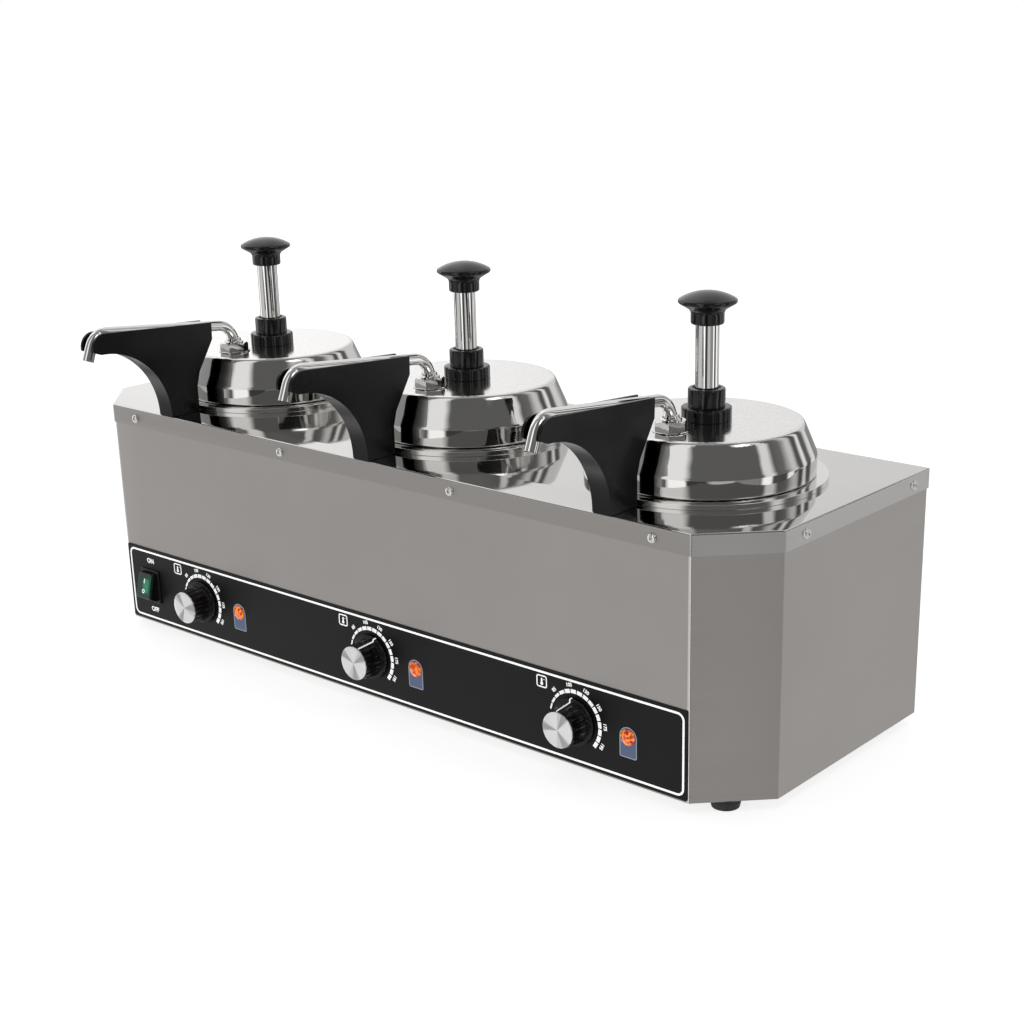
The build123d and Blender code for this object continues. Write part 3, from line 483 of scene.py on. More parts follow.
def modified(mesh, kind, **settings):
    """The mesh that one modifier makes."""
    thing = new_object("blank", mesh)
    modifier = thing.modifiers.new("step", kind)
    for key, value in settings.items():
        setattr(modifier, key, value)
    return evaluated_mesh(thing)


print("piece helpers ready")

# %% [markdown]
# ## Softened copies of the moulded and machined parts
#
# A moulding never has a knife edge: the small round along each edge is what catches the light. The
# loaded mesh must stay as it is, so a copy is merged, its flat triangles are joined into faces, and
# a Bevel modifier rounds every edge sharper than an angle. The copy then stands for the part.

# %% Softened copies
flat_angle, edge_angle = math.radians(0.6), math.radians(35)


def welded(part):
    """A loaded part opened for editing, with its doubled corners merged."""
    shape = bmesh.new()
    shape.from_mesh(nodes[part].data)
    bmesh.ops.remove_doubles(shape, verts=shape.verts, dist=0.002 * mm)
    return shape


def softened(part, radius, segments=2):
    """A copy of a loaded part with rounded edges, standing for it; radius in millimetres."""
    shape = welded(part)
    bmesh.ops.dissolve_limit(shape, angle_limit=flat_angle, verts=shape.verts, edges=shape.edges)
    mesh = modified(to_mesh(shape, nodes[part].data.materials[0]), "BEVEL", width=radius * mm,
                    segments=segments, limit_method="ANGLE", angle_limit=edge_angle, harden_normals=True)
    add_stand_in(f"{part}_moulding", mesh, part)


at_each_station = {"spout_guard": 0.45, "valve_body": 0.5, "tube_nut": 0.35, "guide_bush": 0.3, "pot": 0.38}
for side in sides:
    for stem, radius in at_each_station.items():
        softened(f"{stem}_{side}", radius)
for part, radius in {"switch_frame": 0.35, "rocker": 0.4, "cable_gland": 0.4, "terminal_block": 0.4}.items():
    softened(part, radius)
for part, radius in {"casing_wrap": 0.9, "top_deck": 0.45}.items():
    softened(part, radius, segments=3)

# %% [markdown]
# ## Lids with a long shoulder
#
# A lid is pressed from one disc: its sloping shoulder takes up most of the side, and only a short
# band below it stands upright. The loaded lid folds higher up. A copy has its heights stretched
# between three marks, so its foot and its flat top stay where the pot and the pump hold them, and
# normals weighted by area keep the cone's reflections straight.

# %% Lids with a long shoulder
lid_sheet = 0.8 * mm
loaded_band, pressed_band = 25.0 * mm, 15.2 * mm        # heights of the upright band
loaded_marks = (lid_foot, lid_foot + loaded_band, lid_top - lid_sheet)
pressed_marks = (lid_foot, lid_foot + pressed_band, lid_top - lid_sheet)


def pressed_height(height):
    """Where a height on the loaded lid lies on the pressed one."""
    for (low, high), (new_low, new_high) in zip(pairwise(loaded_marks), pairwise(pressed_marks)):
        if low < height < high:
            return new_low + (height - low) / (high - low) * (new_high - new_low)
    return height


for side in sides:
    shape = bmesh.new()
    shape.from_mesh(nodes[f"lid_{side}"].data)
    for vert in shape.verts:
        vert.co.z = pressed_height(vert.co.z)
    mesh = modified(to_mesh(shape, lid_steel), "WEIGHTED_NORMAL", keep_sharp=True)
    add_stand_in(f"lid_{side}_pressed", mesh, f"lid_{side}")
print("lid bands", round(pressed_band / mm, 1), "mm high")

# %% [markdown]
# ## Printed film on the front
#
# The control film carries white lines and marks. A texture image would do it, but a thin layer of
# ink made as real plates stays sharp at any distance and needs no picture file. Every mark is drawn
# flat, as (right, up) pairs, and one matrix lays it on the film's face.

# %% Ink helpers
ink_depth, ink_height = 0.02 * mm, 0.06 * mm        # into the film, and above its face
ink_thickness = ink_depth + ink_height
letter_weight = 0.035       # letters grow by this share of their size
onto_film = Matrix.Translation((0, 0, (ink_height - ink_depth) / 2))


def in_mm(pairs):
    """Millimetre pairs as metres."""
    return [(a * mm, b * mm) for a, b in pairs]


def on_panel(x, z, turn=0.0):
    """Matrix from flat (right, up, outward) places to the panel's face, about a point on it."""
    face = Matrix(((1, 0, 0, x), (0, 0, -1, panel_y), (0, 1, 0, z), (0, 0, 0, 1)))
    return face @ Matrix.Rotation(turn, 4, "Z")


def arc(centre, radius, start, end, steps):
    """Points along an arc, angles in degrees."""
    angles = [math.radians(start + (end - start) * i / steps) for i in range(steps + 1)]
    return [(centre[0] + radius * math.cos(a), centre[1] + radius * math.sin(a)) for a in angles]


def round_rectangle(width, height, radius, steps=8):
    """Outline of a rectangle with round corners, centred."""
    x, y = width / 2 - radius, height / 2 - radius
    corners = ((x, y, 0), (-x, y, 90), (-x, -y, 180), (x, -y, 270))
    return [p for cx, cy, a in corners for p in arc((cx, cy), radius, a, a + 90, steps)]


def add_plate(shape, outline, low=-ink_depth, high=ink_height):
    """Adds a flat plate with the given outline."""
    bridge(shape, [[shape.verts.new((x, y, z)) for x, y in outline] for z in (low, high)], "capped")


def add_frame(shape, outer, inner, low=-ink_depth, high=ink_height):
    """Adds a flat frame between two outlines with as many points each."""
    bridge(shape, [[shape.verts.new((x, y, z)) for x, y in line]
                   for line, z in ((outer, low), (outer, high), (inner, high), (inner, low))], "ring")


def add_border(shape, width, height, radius, line, steps=8):
    """Adds a rounded rectangle drawn with a line of the given width."""
    inner = round_rectangle(width - 2 * line, height - 2 * line, radius - line, steps)
    add_frame(shape, round_rectangle(width, height, radius, steps), inner)


def repainted(mesh, material):
    """The mesh with one material on every face."""
    mesh.materials.clear()
    mesh.materials.append(material)
    mesh.polygons.foreach_set("material_index", [0] * len(mesh.polygons))
    return mesh


def lettering(text, size):
    """Flat letters as a mesh, centred on the origin, as thick as the ink."""
    curve = bpy.data.curves.new("letters", "FONT")
    curve.body = text
    curve.size = size
    curve.align_x = curve.align_y = "CENTER"
    curve.resolution_u = 3
    curve.extrude = ink_thickness / 2
    curve.offset = letter_weight * size
    mesh = evaluated_mesh(new_object("letters", curve))
    mesh.transform(onto_film)
    return repainted(mesh, glowing_white_ink)


def add_print(name, placed):
    """A piece of ink on the panel, from (mesh, matrix) pairs."""
    add_piece(name, joined(placed), "housing", "black_overlay")


print("ink helpers ready")

# %% [markdown]
# ## Border line, thermometers and the words ON and OFF
#
# The border is a frame between two rounded rectangles. The thermometer is the plain sign for
# temperature: a rounded box round a stem with a bulb. The two words are the switch's own.

# %% Border
film = panel_high - panel_low
film_middle = (panel_low + panel_high) / 2
border_inset, border_line, border_radius = 2.6 * mm, 1.7 * mm, 6.0 * mm
shape = bmesh.new()
add_border(shape, film.x - 2 * border_inset, film.z - 2 * border_inset, border_radius, border_line)
add_print("panel_border", [(to_mesh(shape, glowing_white_ink), on_panel(film_middle.x, film_middle.z))])
print("border round", round(film.x, 3), "by", round(film.z, 3))

# %% Thermometers and words
icon_left, icon_up = 31.6 * mm, 24.0 * mm       # from the dial's middle
icon_width, icon_height, icon_corner, icon_line = 10.2 * mm, 9.8 * mm, 2.0 * mm, 1.0 * mm
tube_end, tube_half, bulb_middle, bulb_radius = 1.9 * mm, 0.75 * mm, -1.7 * mm, 1.35 * mm
tick = in_mm([(1.6, 1.5), (2.8, 1.5), (2.8, 2.0), (1.6, 2.0)])
shape = bmesh.new()
add_border(shape, icon_width, icon_height, icon_corner, icon_line, 4)
add_plate(shape, arc((0, tube_end), tube_half, 0, 180, 6) + arc((0, bulb_middle), bulb_radius, 124, 416, 12))
add_plate(shape, tick)
thermometer = to_mesh(shape, glowing_white_ink)
icon_places = [on_panel(dial.x - icon_left, dial.y + icon_up) for dial in dials.values()]
add_print("thermometer_signs", [(thermometer, place) for place in icon_places])

switch_middle = middle("switch_frame")
words = {"ON": (1.0, 23.4), "OFF": (1.5, -22.8)}      # right and up from the switch's middle, millimetres
word_size = 6.0 * mm
add_print("switch_words", [(lettering(word, word_size),
                            on_panel(switch_middle.x + right * mm, switch_middle.z + up * mm))
                           for word, (right, up) in words.items()])
print("signs at", [round(dial.x - icon_left, 3) for dial in dials.values()])

# %% [markdown]
# ## Dial scales, grown by Geometry Nodes
#
# Each scale is a row of dashes along an arc. A node tree lays points on an arc, turns a small block
# along the tangent at each point, and thins the first few, as the scale starts fine. The tree is a
# rule: change the number of dashes or the sweep and the scale redraws itself.

# %% Geometry Nodes helpers
def new_tree(name, **sizes):
    """A geometry tree with named number inputs, and its input node's outputs."""
    tree = bpy.data.node_groups.new(name, "GeometryNodeTree")
    for way in ("INPUT", "OUTPUT"):
        tree.interface.new_socket("Geometry", in_out=way, socket_type="NodeSocketGeometry")
    for size, value in sizes.items():
        kind = "NodeSocketInt" if isinstance(value, int) else "NodeSocketFloat"
        tree.interface.new_socket(size, in_out="INPUT", socket_type=kind)
    return tree, node(tree, "NodeGroupInput").outputs


def end_tree(tree, geometry, material):
    """Ends a tree in real geometry with one material."""
    real = first(tree, "GeometryNodeRealizeInstances", {"Geometry": geometry})
    painted = first(tree, "GeometryNodeSetMaterial", {"Geometry": real, "Material": material})
    node(tree, "NodeGroupOutput", {"Geometry": painted})


def grow(tree, sizes, material, seed=None):
    """Runs a tree on an object of its own and gives back the plain mesh, in one material."""
    holder = new_object("grown", seed or bpy.data.meshes.new("grown"))
    rule = holder.modifiers.new("rule", "NODES")
    rule.node_group = tree
    for socket in tree.interface.items_tree:
        if socket.name in sizes:
            rule[socket.identifier] = sizes[socket.name]
    return repainted(evaluated_mesh(holder), material)


def set_out(tree, points, thing, rotation, **inputs):
    """A copy of a thing on every point."""
    inputs = {"Points": points, "Instance": thing, "Rotation": rotation, **inputs}
    return first(tree, "GeometryNodeInstanceOnPoints", inputs)


def aligned(tree, direction, axis):
    """A rotation that turns an axis along a direction."""
    return first(tree, "FunctionNodeAlignRotationToVector", {"Vector": direction}, axis=axis)


print("geometry helpers ready")

# %% Scale dashes
scale_sizes = {"Radius": 23.5 * mm, "Start": math.radians(164), "Sweep": math.radians(-199), "Dashes": 15,
               "Length": 4.9 * mm, "Width": 3.1 * mm, "Thin dashes": 4, "Thinnest": 0.4}
tree, given = new_tree("dial_scale", **scale_sizes)
line = first(tree, "GeometryNodeCurveArc", {"Radius": given["Radius"], "Start Angle": given["Start"],
             "Sweep Angle": given["Sweep"], "Resolution": 64}, mode="RADIUS")
points = node(tree, "GeometryNodeCurveToPoints", {"Curve": line, "Count": given["Dashes"]}, mode="COUNT")
block_size = vector(tree, given["Length"], given["Width"], ink_thickness)
block = first(tree, "GeometryNodeMeshCube", {"Size": block_size})
place_in_row = first(tree, "GeometryNodeInputIndex")
thickness = between(tree, place_in_row, given["Thinnest"], 1.0, 0.0, given["Thin dashes"])
dashes = set_out(tree, points.outputs["Points"], block, aligned(tree, points.outputs["Tangent"], "X"),
                 Scale=vector(tree, 1.0, thickness, 1.0))
end_tree(tree, dashes, glowing_white_ink)
scale = grow(tree, scale_sizes, glowing_white_ink)
scale.transform(onto_film)
add_print("dial_scales", [(scale, on_panel(dial.x, dial.y)) for dial in dials.values()])
print("scale of", scale_sizes["Dashes"], "dashes,", len(scale.polygons), "faces")

# %% Numbers round the scales
number_radius, number_size = 28.3 * mm, 4.0 * mm
# by their bearing in degrees, from +X upwards
numbers = {134: "85", 101: "105", 68: "130", 37: "150", 6: "175", -28: "195"}
marks = []
for dial in dials.values():
    for bearing, text in numbers.items():
        x, y = arc(dial, number_radius, bearing, bearing, 1)[0]
        marks.append((lettering(text, number_size), on_panel(x, y, math.radians(bearing - 90))))
add_print("scale_numbers", marks)
print(len(marks), "numbers")

# %% [markdown]
# ## Lamp badges and lamps
#
# Each amber lamp sits in the round head of a small arched badge. The lens is cut like a gem so that
# it glitters from any side: rings of points, each turned by half a step past the one below, make
# rows of flat triangles. Crisp edges keep the cuts hard.

# %% Lamp badges
lamp_right, lamp_up = 49.4 * mm, 0.8 * mm       # from the dial's middle
badge_half, badge_foot = 7.8 * mm, 15.5 * mm        # half its width, and how far it reaches down
badge_corner, badge_line = 1.6 * mm, 0.7 * mm


def arch(inset):
    """Outline of the badge: a foot with small round corners, and a round head about the lamp."""
    half, corner = badge_half - inset, badge_corner - inset
    low = -badge_foot + inset + corner
    foot = arc((-half + corner, low), corner, 180, 270, 5) + arc((half - corner, low), corner, 270, 360, 5)
    return foot + arc((0, lamp_up), half, 0, 180, 24)


face, edge = bmesh.new(), bmesh.new()
add_plate(face, arch(badge_line))
add_frame(edge, arch(0.0), arch(badge_line))
lamps = [on_panel(dial.x + lamp_right, dial.y) for dial in dials.values()]
for name, shape, ink in (("lamp_badges", face, badge_ink), ("badge_lines", edge, pale_edge_ink)):
    mesh = to_mesh(shape, ink)
    add_print(name, [(mesh, place) for place in lamps])
print(len(lamps), "badges")

# %% Amber lens material
def glow_with(material, colours):
    """Links a colour to the surface and to its glow."""
    for socket in ("Base Color", "Emission Color"):
        material.node_tree.links.new(colours, shader_of(material).inputs[socket])


amber = plain("amber_lens", (0.80, 0.13, 0.004), 0.0, 0.05, IOR=1.49, Coat_Weight=1.0, Emission_Strength=0.55)
tree = amber.node_tree
# bright yellow cells are painted glints of the cuts, in the lens colour and in the lamp's glow
cells = node(tree, "ShaderNodeTexVoronoi", {"Vector": object_places(tree), "Scale": 520.0}).outputs["Color"]
painted_glints = between(tree, cells, 0.0, 1.0, 0.25, 0.75)
glow_with(amber, tint(tree, painted_glints, (0.34, 0.012, 0.001), (1.0, 0.24, 0.008)))
print("amber ready")

# %% Faceted lamps
lens_cuts = 10
lens_rings = in_mm([(6.4, -0.02), (6.4, 0.9), (5.8, 1.1), (4.6, 2.3), (2.6, 3.1), (0.0, 3.4)])
upright_rings = 2       # the rings up to this one are not turned
stem_radius, stem_length, stem_points = 4.5 * mm, 18.0 * mm, 24


def ring_points(shape, radius, height, steps, turn=0.0):
    """Adds a ring of points about Z, turned by part of a step."""
    angles = [2 * math.pi * (i + turn) / steps for i in range(steps)]
    return [shape.verts.new((radius * math.cos(a), radius * math.sin(a), height)) for a in angles]


shape = bmesh.new()
rings = [ring_points(shape, radius, height, lens_cuts, 0.5 * max(level - upright_rings, 0))
         for level, (radius, height) in enumerate(lens_rings)]
for low, high in zip(rings, rings[1:]):
    for i in range(lens_cuts):
        k = (i + 1) % lens_cuts
        shape.faces.new((low[i], low[k], high[i]))
        shape.faces.new((low[k], high[k], high[i]))
shape.faces.new(rings[0][::-1])
lens = to_mesh(shape, amber)
shape = bmesh.new()
add_plate(shape, arc((0, 0), stem_radius, 0, 360 - 360 / stem_points, stem_points - 1), -stem_length, 0.0)
stem = to_mesh(shape, amber)
lit = [(part, place @ Matrix.Translation((0, lamp_up, 0))) for place in lamps for part in (lens, stem)]
add_stand_in("amber_lamps", joined(lit), "heat_lamps")
print(len(lamps), "lamps with", lens_cuts, "cuts a ring")

# %% [markdown]
# ## Fluted grips and hand nuts: turn first, then groove by rule
#
# A fluted nut is turned on a lathe and then grooved at equal steps. The same order works here. A
# profile is turned into rings of points, and a node tree pushes points inwards wherever their angle
# lies near one of the grooves. One tree serves the collars (ten wide pads) and the dial grips
# (eighteen fine flutes), because count, width and depth are inputs.

# %% Turning
def turned(profile, steps, material, ends="ring", crisp=30.0):
    """A shape turned about Z from (radius, height) pairs; an open profile starts and ends on Z."""
    shape = bmesh.new()
    bridge(shape, [ring_points(shape, radius, height, steps) for radius, height in profile], ends)
    return to_mesh(shape, material, crisp)


print("turning ready")

# %% Groove rule
groove_sizes = {"Grooves": 10, "Half Width": 1.1 * mm, "Depth": 0.72 * mm, "From Radius": 17.0 * mm,
                "From Height": -1.0, "Turn": 0.0}
tree, given = new_tree("grooves", **groove_sizes)
groove_tree = tree
place = xyz(tree, first(tree, "GeometryNodeInputPosition"))
flat = vector(tree, place["X"], place["Y"])
radius = length(tree, flat)
outward = first(tree, "ShaderNodeVectorMath", {0: flat}, operation="NORMALIZE")
angle = calculate(tree, "ADD", calculate(tree, "ARCTAN2", place["Y"], place["X"]), given["Turn"])
step = calculate(tree, "DIVIDE", 2 * math.pi, given["Grooves"])
off_groove = calculate(tree, "WRAP", angle, product(tree, step, 0.5), product(tree, step, -0.5))
beside = calculate(tree, "ABSOLUTE", product(tree, off_groove, radius))
share = calculate(tree, "MINIMUM", calculate(tree, "DIVIDE", beside, given["Half Width"]), 1.0)
hollow = calculate(tree, "SQRT", calculate(tree, "SUBTRACT", 1.0, product(tree, share, share)))
wide = calculate(tree, "GREATER_THAN", radius, given["From Radius"])
high = calculate(tree, "GREATER_THAN", place["Z"], given["From Height"])
inward = product(tree, hollow, given["Depth"], wide, high, -1.0)
push = first(tree, "ShaderNodeVectorMath", {0: outward, "Scale": inward}, operation="SCALE")
grooved = first(tree, "GeometryNodeSetPosition", {"Geometry": given["Geometry"], "Offset": push})
end_tree(tree, grooved, black_gloss)


def grooved_mesh(blank, **sizes):
    """The blank with grooves pushed in, crisp only at sharp turns."""
    return smoothed(grow(groove_tree, {**groove_sizes, **sizes}, blank.materials[0], blank), 35)


print("groove rule ready")

# %% Hand nuts
nut_low, nut_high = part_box("fluted_collar_centre")
nut_height = nut_high.z - nut_low.z
nut_out, nut_in, bush_in, roof = 18.8 * mm, 16.05 * mm, 13.95 * mm, 1.4 * mm
nut_line = [(nut_in, 0), (nut_out - 0.4 * mm, 0), (nut_out, 0.4 * mm)]
nut_line += [(nut_out, nut_height * share) for share in (0.25, 0.5, 0.75)]
nut_line += [(nut_out, nut_height - 1.3 * mm), (nut_out - 0.25 * mm, nut_height - 0.6 * mm),
             (nut_out - 0.8 * mm, nut_height - 0.15 * mm), (nut_out - 1.5 * mm, nut_height),
             (bush_in, nut_height), (bush_in, nut_height - roof), (nut_in, nut_height - roof)]
hand_nut = grooved_mesh(turned(nut_line, 240, black_gloss))
for side in sides:
    place = (*middle(f"fluted_collar_{side}").xy, nut_low.z)
    add_stand_in(f"hand_nut_{side}", moved_copy(hand_nut, place), f"fluted_collar_{side}")
print("hand nut", len(hand_nut.polygons), "faces, height", round(nut_height, 4))

# %% Dial grips
pointer_at = {"left": 160.0, "centre": 68.0, "right": 95.0}     # where each pointer rests, from +X upwards
dial_face = {side: on_panel(*dials[side], math.radians(pointer_at[side])) for side in sides}
grip_line = in_mm([
    (0, -14.0), (3.0, -14.0), (3.0, 0.4), (17.9, 0.4), (18.5, 0.9), (18.5, 3.0), (18.3, 3.4), (17.8, 3.6),
    (16.9, 3.6), (16.1, 3.8), (15.75, 4.5), (15.4, 8.0), (15.05, 11.8), (14.7, 15.6), (14.45, 18.4),
    (14.3, 19.2), (14.0, 19.8), (13.7, 19.9), (0, 19.9)])
flutes = {"Grooves": 18, "Half Width": 1.5 * mm, "Depth": 0.55 * mm,
          "From Radius": 13.9 * mm, "From Height": 3.7 * mm, "Turn": math.radians(10)}
grip = grooved_mesh(turned(grip_line, 216, knob_gloss, "open"), **flutes)
for side in sides:
    add_stand_in(f"dial_grip_{side}", moved_copy(grip, dial_face[side]), f"dial_knob_{side}")
print("grip", len(grip.polygons), "faces")

# %% [markdown]
# ## Spun caps and pointers
#
# A face turned on a lathe shows bright and dark wedges that meet in its middle: its fine rings catch
# the light. On a cap this small, the wedges are painted highlights, set by angle, which is surer than
# thousands of rings, and the wedges then turn with the dial. The angle comes from the cap's own UV map.

# %% Cap material
cap_metal = plain("spun_cap", (0.9, 0.9, 0.9), 0.6, 0.22)
tree = cap_metal.node_tree
flat = xyz(tree, node(tree, "ShaderNodeTexCoord").outputs["UV"])
across, up = [calculate(tree, "SUBTRACT", flat[key], 0.5) for key in "XY"]
angle = calculate(tree, "ARCTAN2", up, across)
sector_slice, rings_across = 4.4, 90.0      # where the noise is cut, and how fine the rings are
on_circle = vector(tree, calculate(tree, "COSINE", angle), calculate(tree, "SINE", angle), sector_slice)
highlight_patches = noise(tree, on_circle, 2.6, 2.0)
turns = calculate(tree, "ADD", product(tree, angle, 1.5), 0.9)
highlight_wedges = calculate(tree, "ABSOLUTE", calculate(tree, "SINE", turns))
# painted highlights: bright and dark wedges round the cap's middle
painted_highlights = calculate(tree, "ADD", product(tree, highlight_patches, 0.6), product(tree, highlight_wedges, 0.4))
colours = tint(tree, between(tree, painted_highlights, 0.0, 1.0, 0.38, 0.58), (0.50, 0.485, 0.47), (1.0, 1.0, 1.0))
rings = noise(tree, vector(tree, product(tree, length(tree, vector(tree, across, up)), rings_across)))
finish_surface(cap_metal, rings, between(tree, rings, 0.20, 0.28), 0.003 * mm, colours)
print("cap metal ready")

# %% Caps
cap_radius = 14.0 * mm
cap_line = in_mm([(0, 19.0), (13.6, 19.0), (14.0, 19.9), (14.0, 20.3), (13.75, 20.6), (13.3, 20.7),
                  (7.0, 20.62), (0, 20.58)])
cap = turned(cap_line, 96, cap_metal, "open", 50)
layer = cap.uv_layers.new(name="cap")
for corner in cap.loops:
    place = cap.vertices[corner.vertex_index].co
    layer.data[corner.index].uv = [0.5 + 0.5 * along / cap_radius for along in place.xy]
for side in sides:
    add_stand_in(f"dial_cap_{side}_face", moved_copy(cap, dial_face[side]), f"dial_cap_{side}")
print("caps", len(cap.polygons), "faces")

# %% Pointers
def ribbon(line, width, low, high, material):
    """A bar that follows a (radius, height) line over a turned shape, at angle zero."""
    shape = bmesh.new()
    rows = []
    for i, (radius, height) in enumerate(line):
        before, after = line[max(i - 1, 0)], line[min(i + 1, len(line) - 1)]
        along = Vector((after[0] - before[0], after[1] - before[1])).normalized()
        rows.append([shape.verts.new((radius + along.y * lift, edge * width / 2, height - along.x * lift))
                     for edge, lift in ((-1, low), (1, low), (1, high), (-1, high))])
    bridge(shape, rows, "capped")
    return to_mesh(shape, material)


pointer_line = in_mm([(18.5, 1.2), (18.5, 2.9), (18.2, 3.45), (17.6, 3.62), (16.4, 3.7), (15.78, 4.4),
                      (15.05, 11.8), (14.45, 18.4), (14.2, 19.4)])
pointer = ribbon(pointer_line, 1.1 * mm, -0.3 * mm, 0.40 * mm, glowing_white_ink)
for side in sides:
    add_piece(f"dial_pointer_{side}", moved_copy(pointer, dial_face[side]), f"dial_{side}", "black_moulding")
print("pointers on", len(dials), "dials")

# %% [markdown]
# ## Lit green rocker
#
# The rocker's lens is clear green plastic over a small lamp. A glow that is strongest near the
# lamp, and fades to dark bottle green at the edges, is painted by position on the lens. The signs
# for on and off are thin plates on its slanted face, whose plane is read from the loaded part.

# %% Green lens
lens_middle = middle("rocker_lens")
lamp_at = lens_middle + Vector((2.6, 0, 0.5)) * mm
green_lens = plain("green_lens", (0.01, 0.16, 0.07), 0.0, 0.12, Coat_Weight=0.6, IOR=1.49,
                   Emission_Strength=0.35)
tree = green_lens.node_tree
place = xyz(tree, object_places(tree))
glow_x = between(tree, distance(tree, place["X"], lamp_at.x), 1.0, 0.0, 2.6 * mm, 5.2 * mm)
glow_z = between(tree, distance(tree, place["Z"], lamp_at.z), 1.0, 0.0, 4.6 * mm, 7.2 * mm)
ribs = between(tree, noise(tree, object_places(tree, (900, 900, 60)), 1.0, 2.0), 0.7, 1.0)
glow = product(tree, glow_x, glow_z, ribs)
glow_with(green_lens, tint(tree, glow, (0.001, 0.030, 0.017), (0.006, 0.24, 0.11)))
lens_mesh = nodes["rocker_lens"].data
lens_mesh.materials[0] = green_lens
print("green lens glows at", round(lamp_at.x, 4))

# %% Signs for on and off
sign_sunk = 0.05 * mm       # how far the signs reach into the lens
zero_down, zero_outer, zero_inner = 4.8 * mm, 1.9 * mm, 1.05 * mm
front = max((face for face in lens_mesh.polygons if face.normal.y < -0.7), key=lambda face: face.area)
out = front.normal.normalized()
up = (Vector((0, 0, 1)) - out * out.z).normalized()
across = up.cross(out)
from_middle = front.center - lens_middle
start = front.center - across * from_middle.dot(across) - up * from_middle.dot(up)
shape = bmesh.new()
add_plate(shape, in_mm([(-0.55, 2.6), (0.55, 2.6), (0.55, 6.6), (-0.55, 6.6)]), -sign_sunk)
zero = [arc((0, -zero_down), radius, 0, 345, 23) for radius in (zero_outer, zero_inner)]
add_frame(shape, *zero, -sign_sunk)
signs = to_mesh(shape, glowing_white_ink)
signs.transform(Matrix.Translation(start) @ Matrix((across, up, out)).transposed().to_4x4())
add_piece("rocker_signs", signs, "rocker", "green_rocker")
print("lens leans", round(math.degrees(math.asin(out.z)), 1), "degrees")

# %% [markdown]
# ## Screws, set by Geometry Nodes
#
# The loaded screws are plain pegs. Each peg's island in the mesh gives a place and the direction
# that its head faces. A tree then sets a domed head with a cross recess at each place, so the head
# is drawn once, and a change to its sizes changes every screw. The pegs are taken in the mesh's own
# order, so the seeded turn of each head is the same in every run.

# %% Places of the screws
def islands(shape):
    """Lists of joined vertices, as places, in the order of their first vertices."""
    shape.verts.index_update()
    found, seen = [], set()
    for start in shape.verts:
        if start not in seen:
            group, edge = set(), {start}
            while edge:
                group |= edge
                edge = {e.other_vert(v) for v in edge for e in v.link_edges} - group
            seen |= group
            found.append([v.co.copy() for v in sorted(group, key=lambda vert: vert.index)])
    shape.free()
    return found


def off_line(point, centre, axis):
    """How far a point lies from a line."""
    return ((point - centre) - axis * (point - centre).dot(axis)).length


shank_limit = 3.0 * mm      # points further than this from a screw's axis belong to its head
screw_places, screw_facing = [], []
for points in islands(welded("case_screws")):
    centre = sum(points, Vector()) / len(points)
    axis = min(Matrix.Identity(3), key=lambda unit: max(off_line(p, centre, unit) for p in points))
    wide = [p for p in points if off_line(p, centre, axis) > shank_limit]
    ring = sum(wide, Vector()) / len(wide)
    tip = max(((p - ring).dot(axis) for p in points), key=abs)
    facing = axis * math.copysign(1.0, -tip)
    seat = min((p - ring).dot(facing) for p in wide)
    screw_places.append(ring + facing * seat)
    screw_facing.append(facing)
print(len(screw_places), "screws, facing", sorted({tuple(round(v, 1) for v in a) for a in screw_facing}))

# %% Screw head rule
screw_sizes = {"Head Radius": 3.9 * mm, "Head Height": 2.4 * mm, "Shank Radius": 2.0 * mm,
               "Shank Length": 6.6 * mm, "Recess Length": 2.8 * mm, "Recess Width": 0.75 * mm,
               "Recess Depth": 1.5 * mm}
above_head = 0.2 * mm       # the cutting bars' middle stands this far over the head
tree, given = new_tree("screws", **screw_sizes)
ball = first(tree, "GeometryNodeMeshUVSphere", {"Segments": 28, "Rings": 16, "Radius": given["Head Radius"]})
place = xyz(tree, first(tree, "GeometryNodeInputPosition"))
reach = calculate(tree, "DIVIDE", length(tree, vector(tree, place["X"], place["Y"])), given["Head Radius"])
dome = calculate(tree, "SUBTRACT", 1.0, calculate(tree, "POWER", reach, 3.0))
dome = calculate(tree, "SQRT", calculate(tree, "MAXIMUM", dome, 0.0))
above = calculate(tree, "GREATER_THAN", place["Z"], 0.0)
domed = vector(tree, place["X"], place["Y"], product(tree, dome, given["Head Height"], above))
head = first(tree, "GeometryNodeSetPosition", {"Geometry": ball, "Position": domed})


def shifted(tree, thing, height):
    """Geometry moved along Z."""
    return first(tree, "GeometryNodeTransform", {"Geometry": thing, "Translation": vector(tree, z=height)})


cut = node(tree, "GeometryNodeMeshBoolean", {"Mesh 1": head}, operation="DIFFERENCE")
for long, wide in (("Recess Length", "Recess Width"), ("Recess Width", "Recess Length")):
    size = vector(tree, given[long], given[wide], product(tree, given["Recess Depth"], 2.0))
    bar = first(tree, "GeometryNodeMeshCube", {"Size": size})
    bar = shifted(tree, bar, calculate(tree, "ADD", given["Head Height"], above_head))
    tree.links.new(bar, cut.inputs["Mesh 2"])
shank = first(tree, "GeometryNodeMeshCylinder", {"Vertices": 20, "Radius": given["Shank Radius"],
              "Depth": given["Shank Length"]})
whole = node(tree, "GeometryNodeJoinGeometry")
for part in (shifted(tree, shank, product(tree, given["Shank Length"], -0.5)), cut.outputs["Mesh"]):
    tree.links.new(part, whole.inputs[0])
facing = first(tree, "GeometryNodeInputNamedAttribute", {"Name": "facing"}, data_type="FLOAT_VECTOR")
spin = node(tree, "FunctionNodeRandomValue", {"Min": 0.0, "Max": 1.5, "Seed": 5}, data_type="FLOAT")
spin = first(tree, "FunctionNodeAxisAngleToRotation", {"Axis": (0, 0, 1), "Angle": spin.outputs["Value"]})
rotation = {"Rotation": aligned(tree, facing, "Z"), "Rotate By": spin}
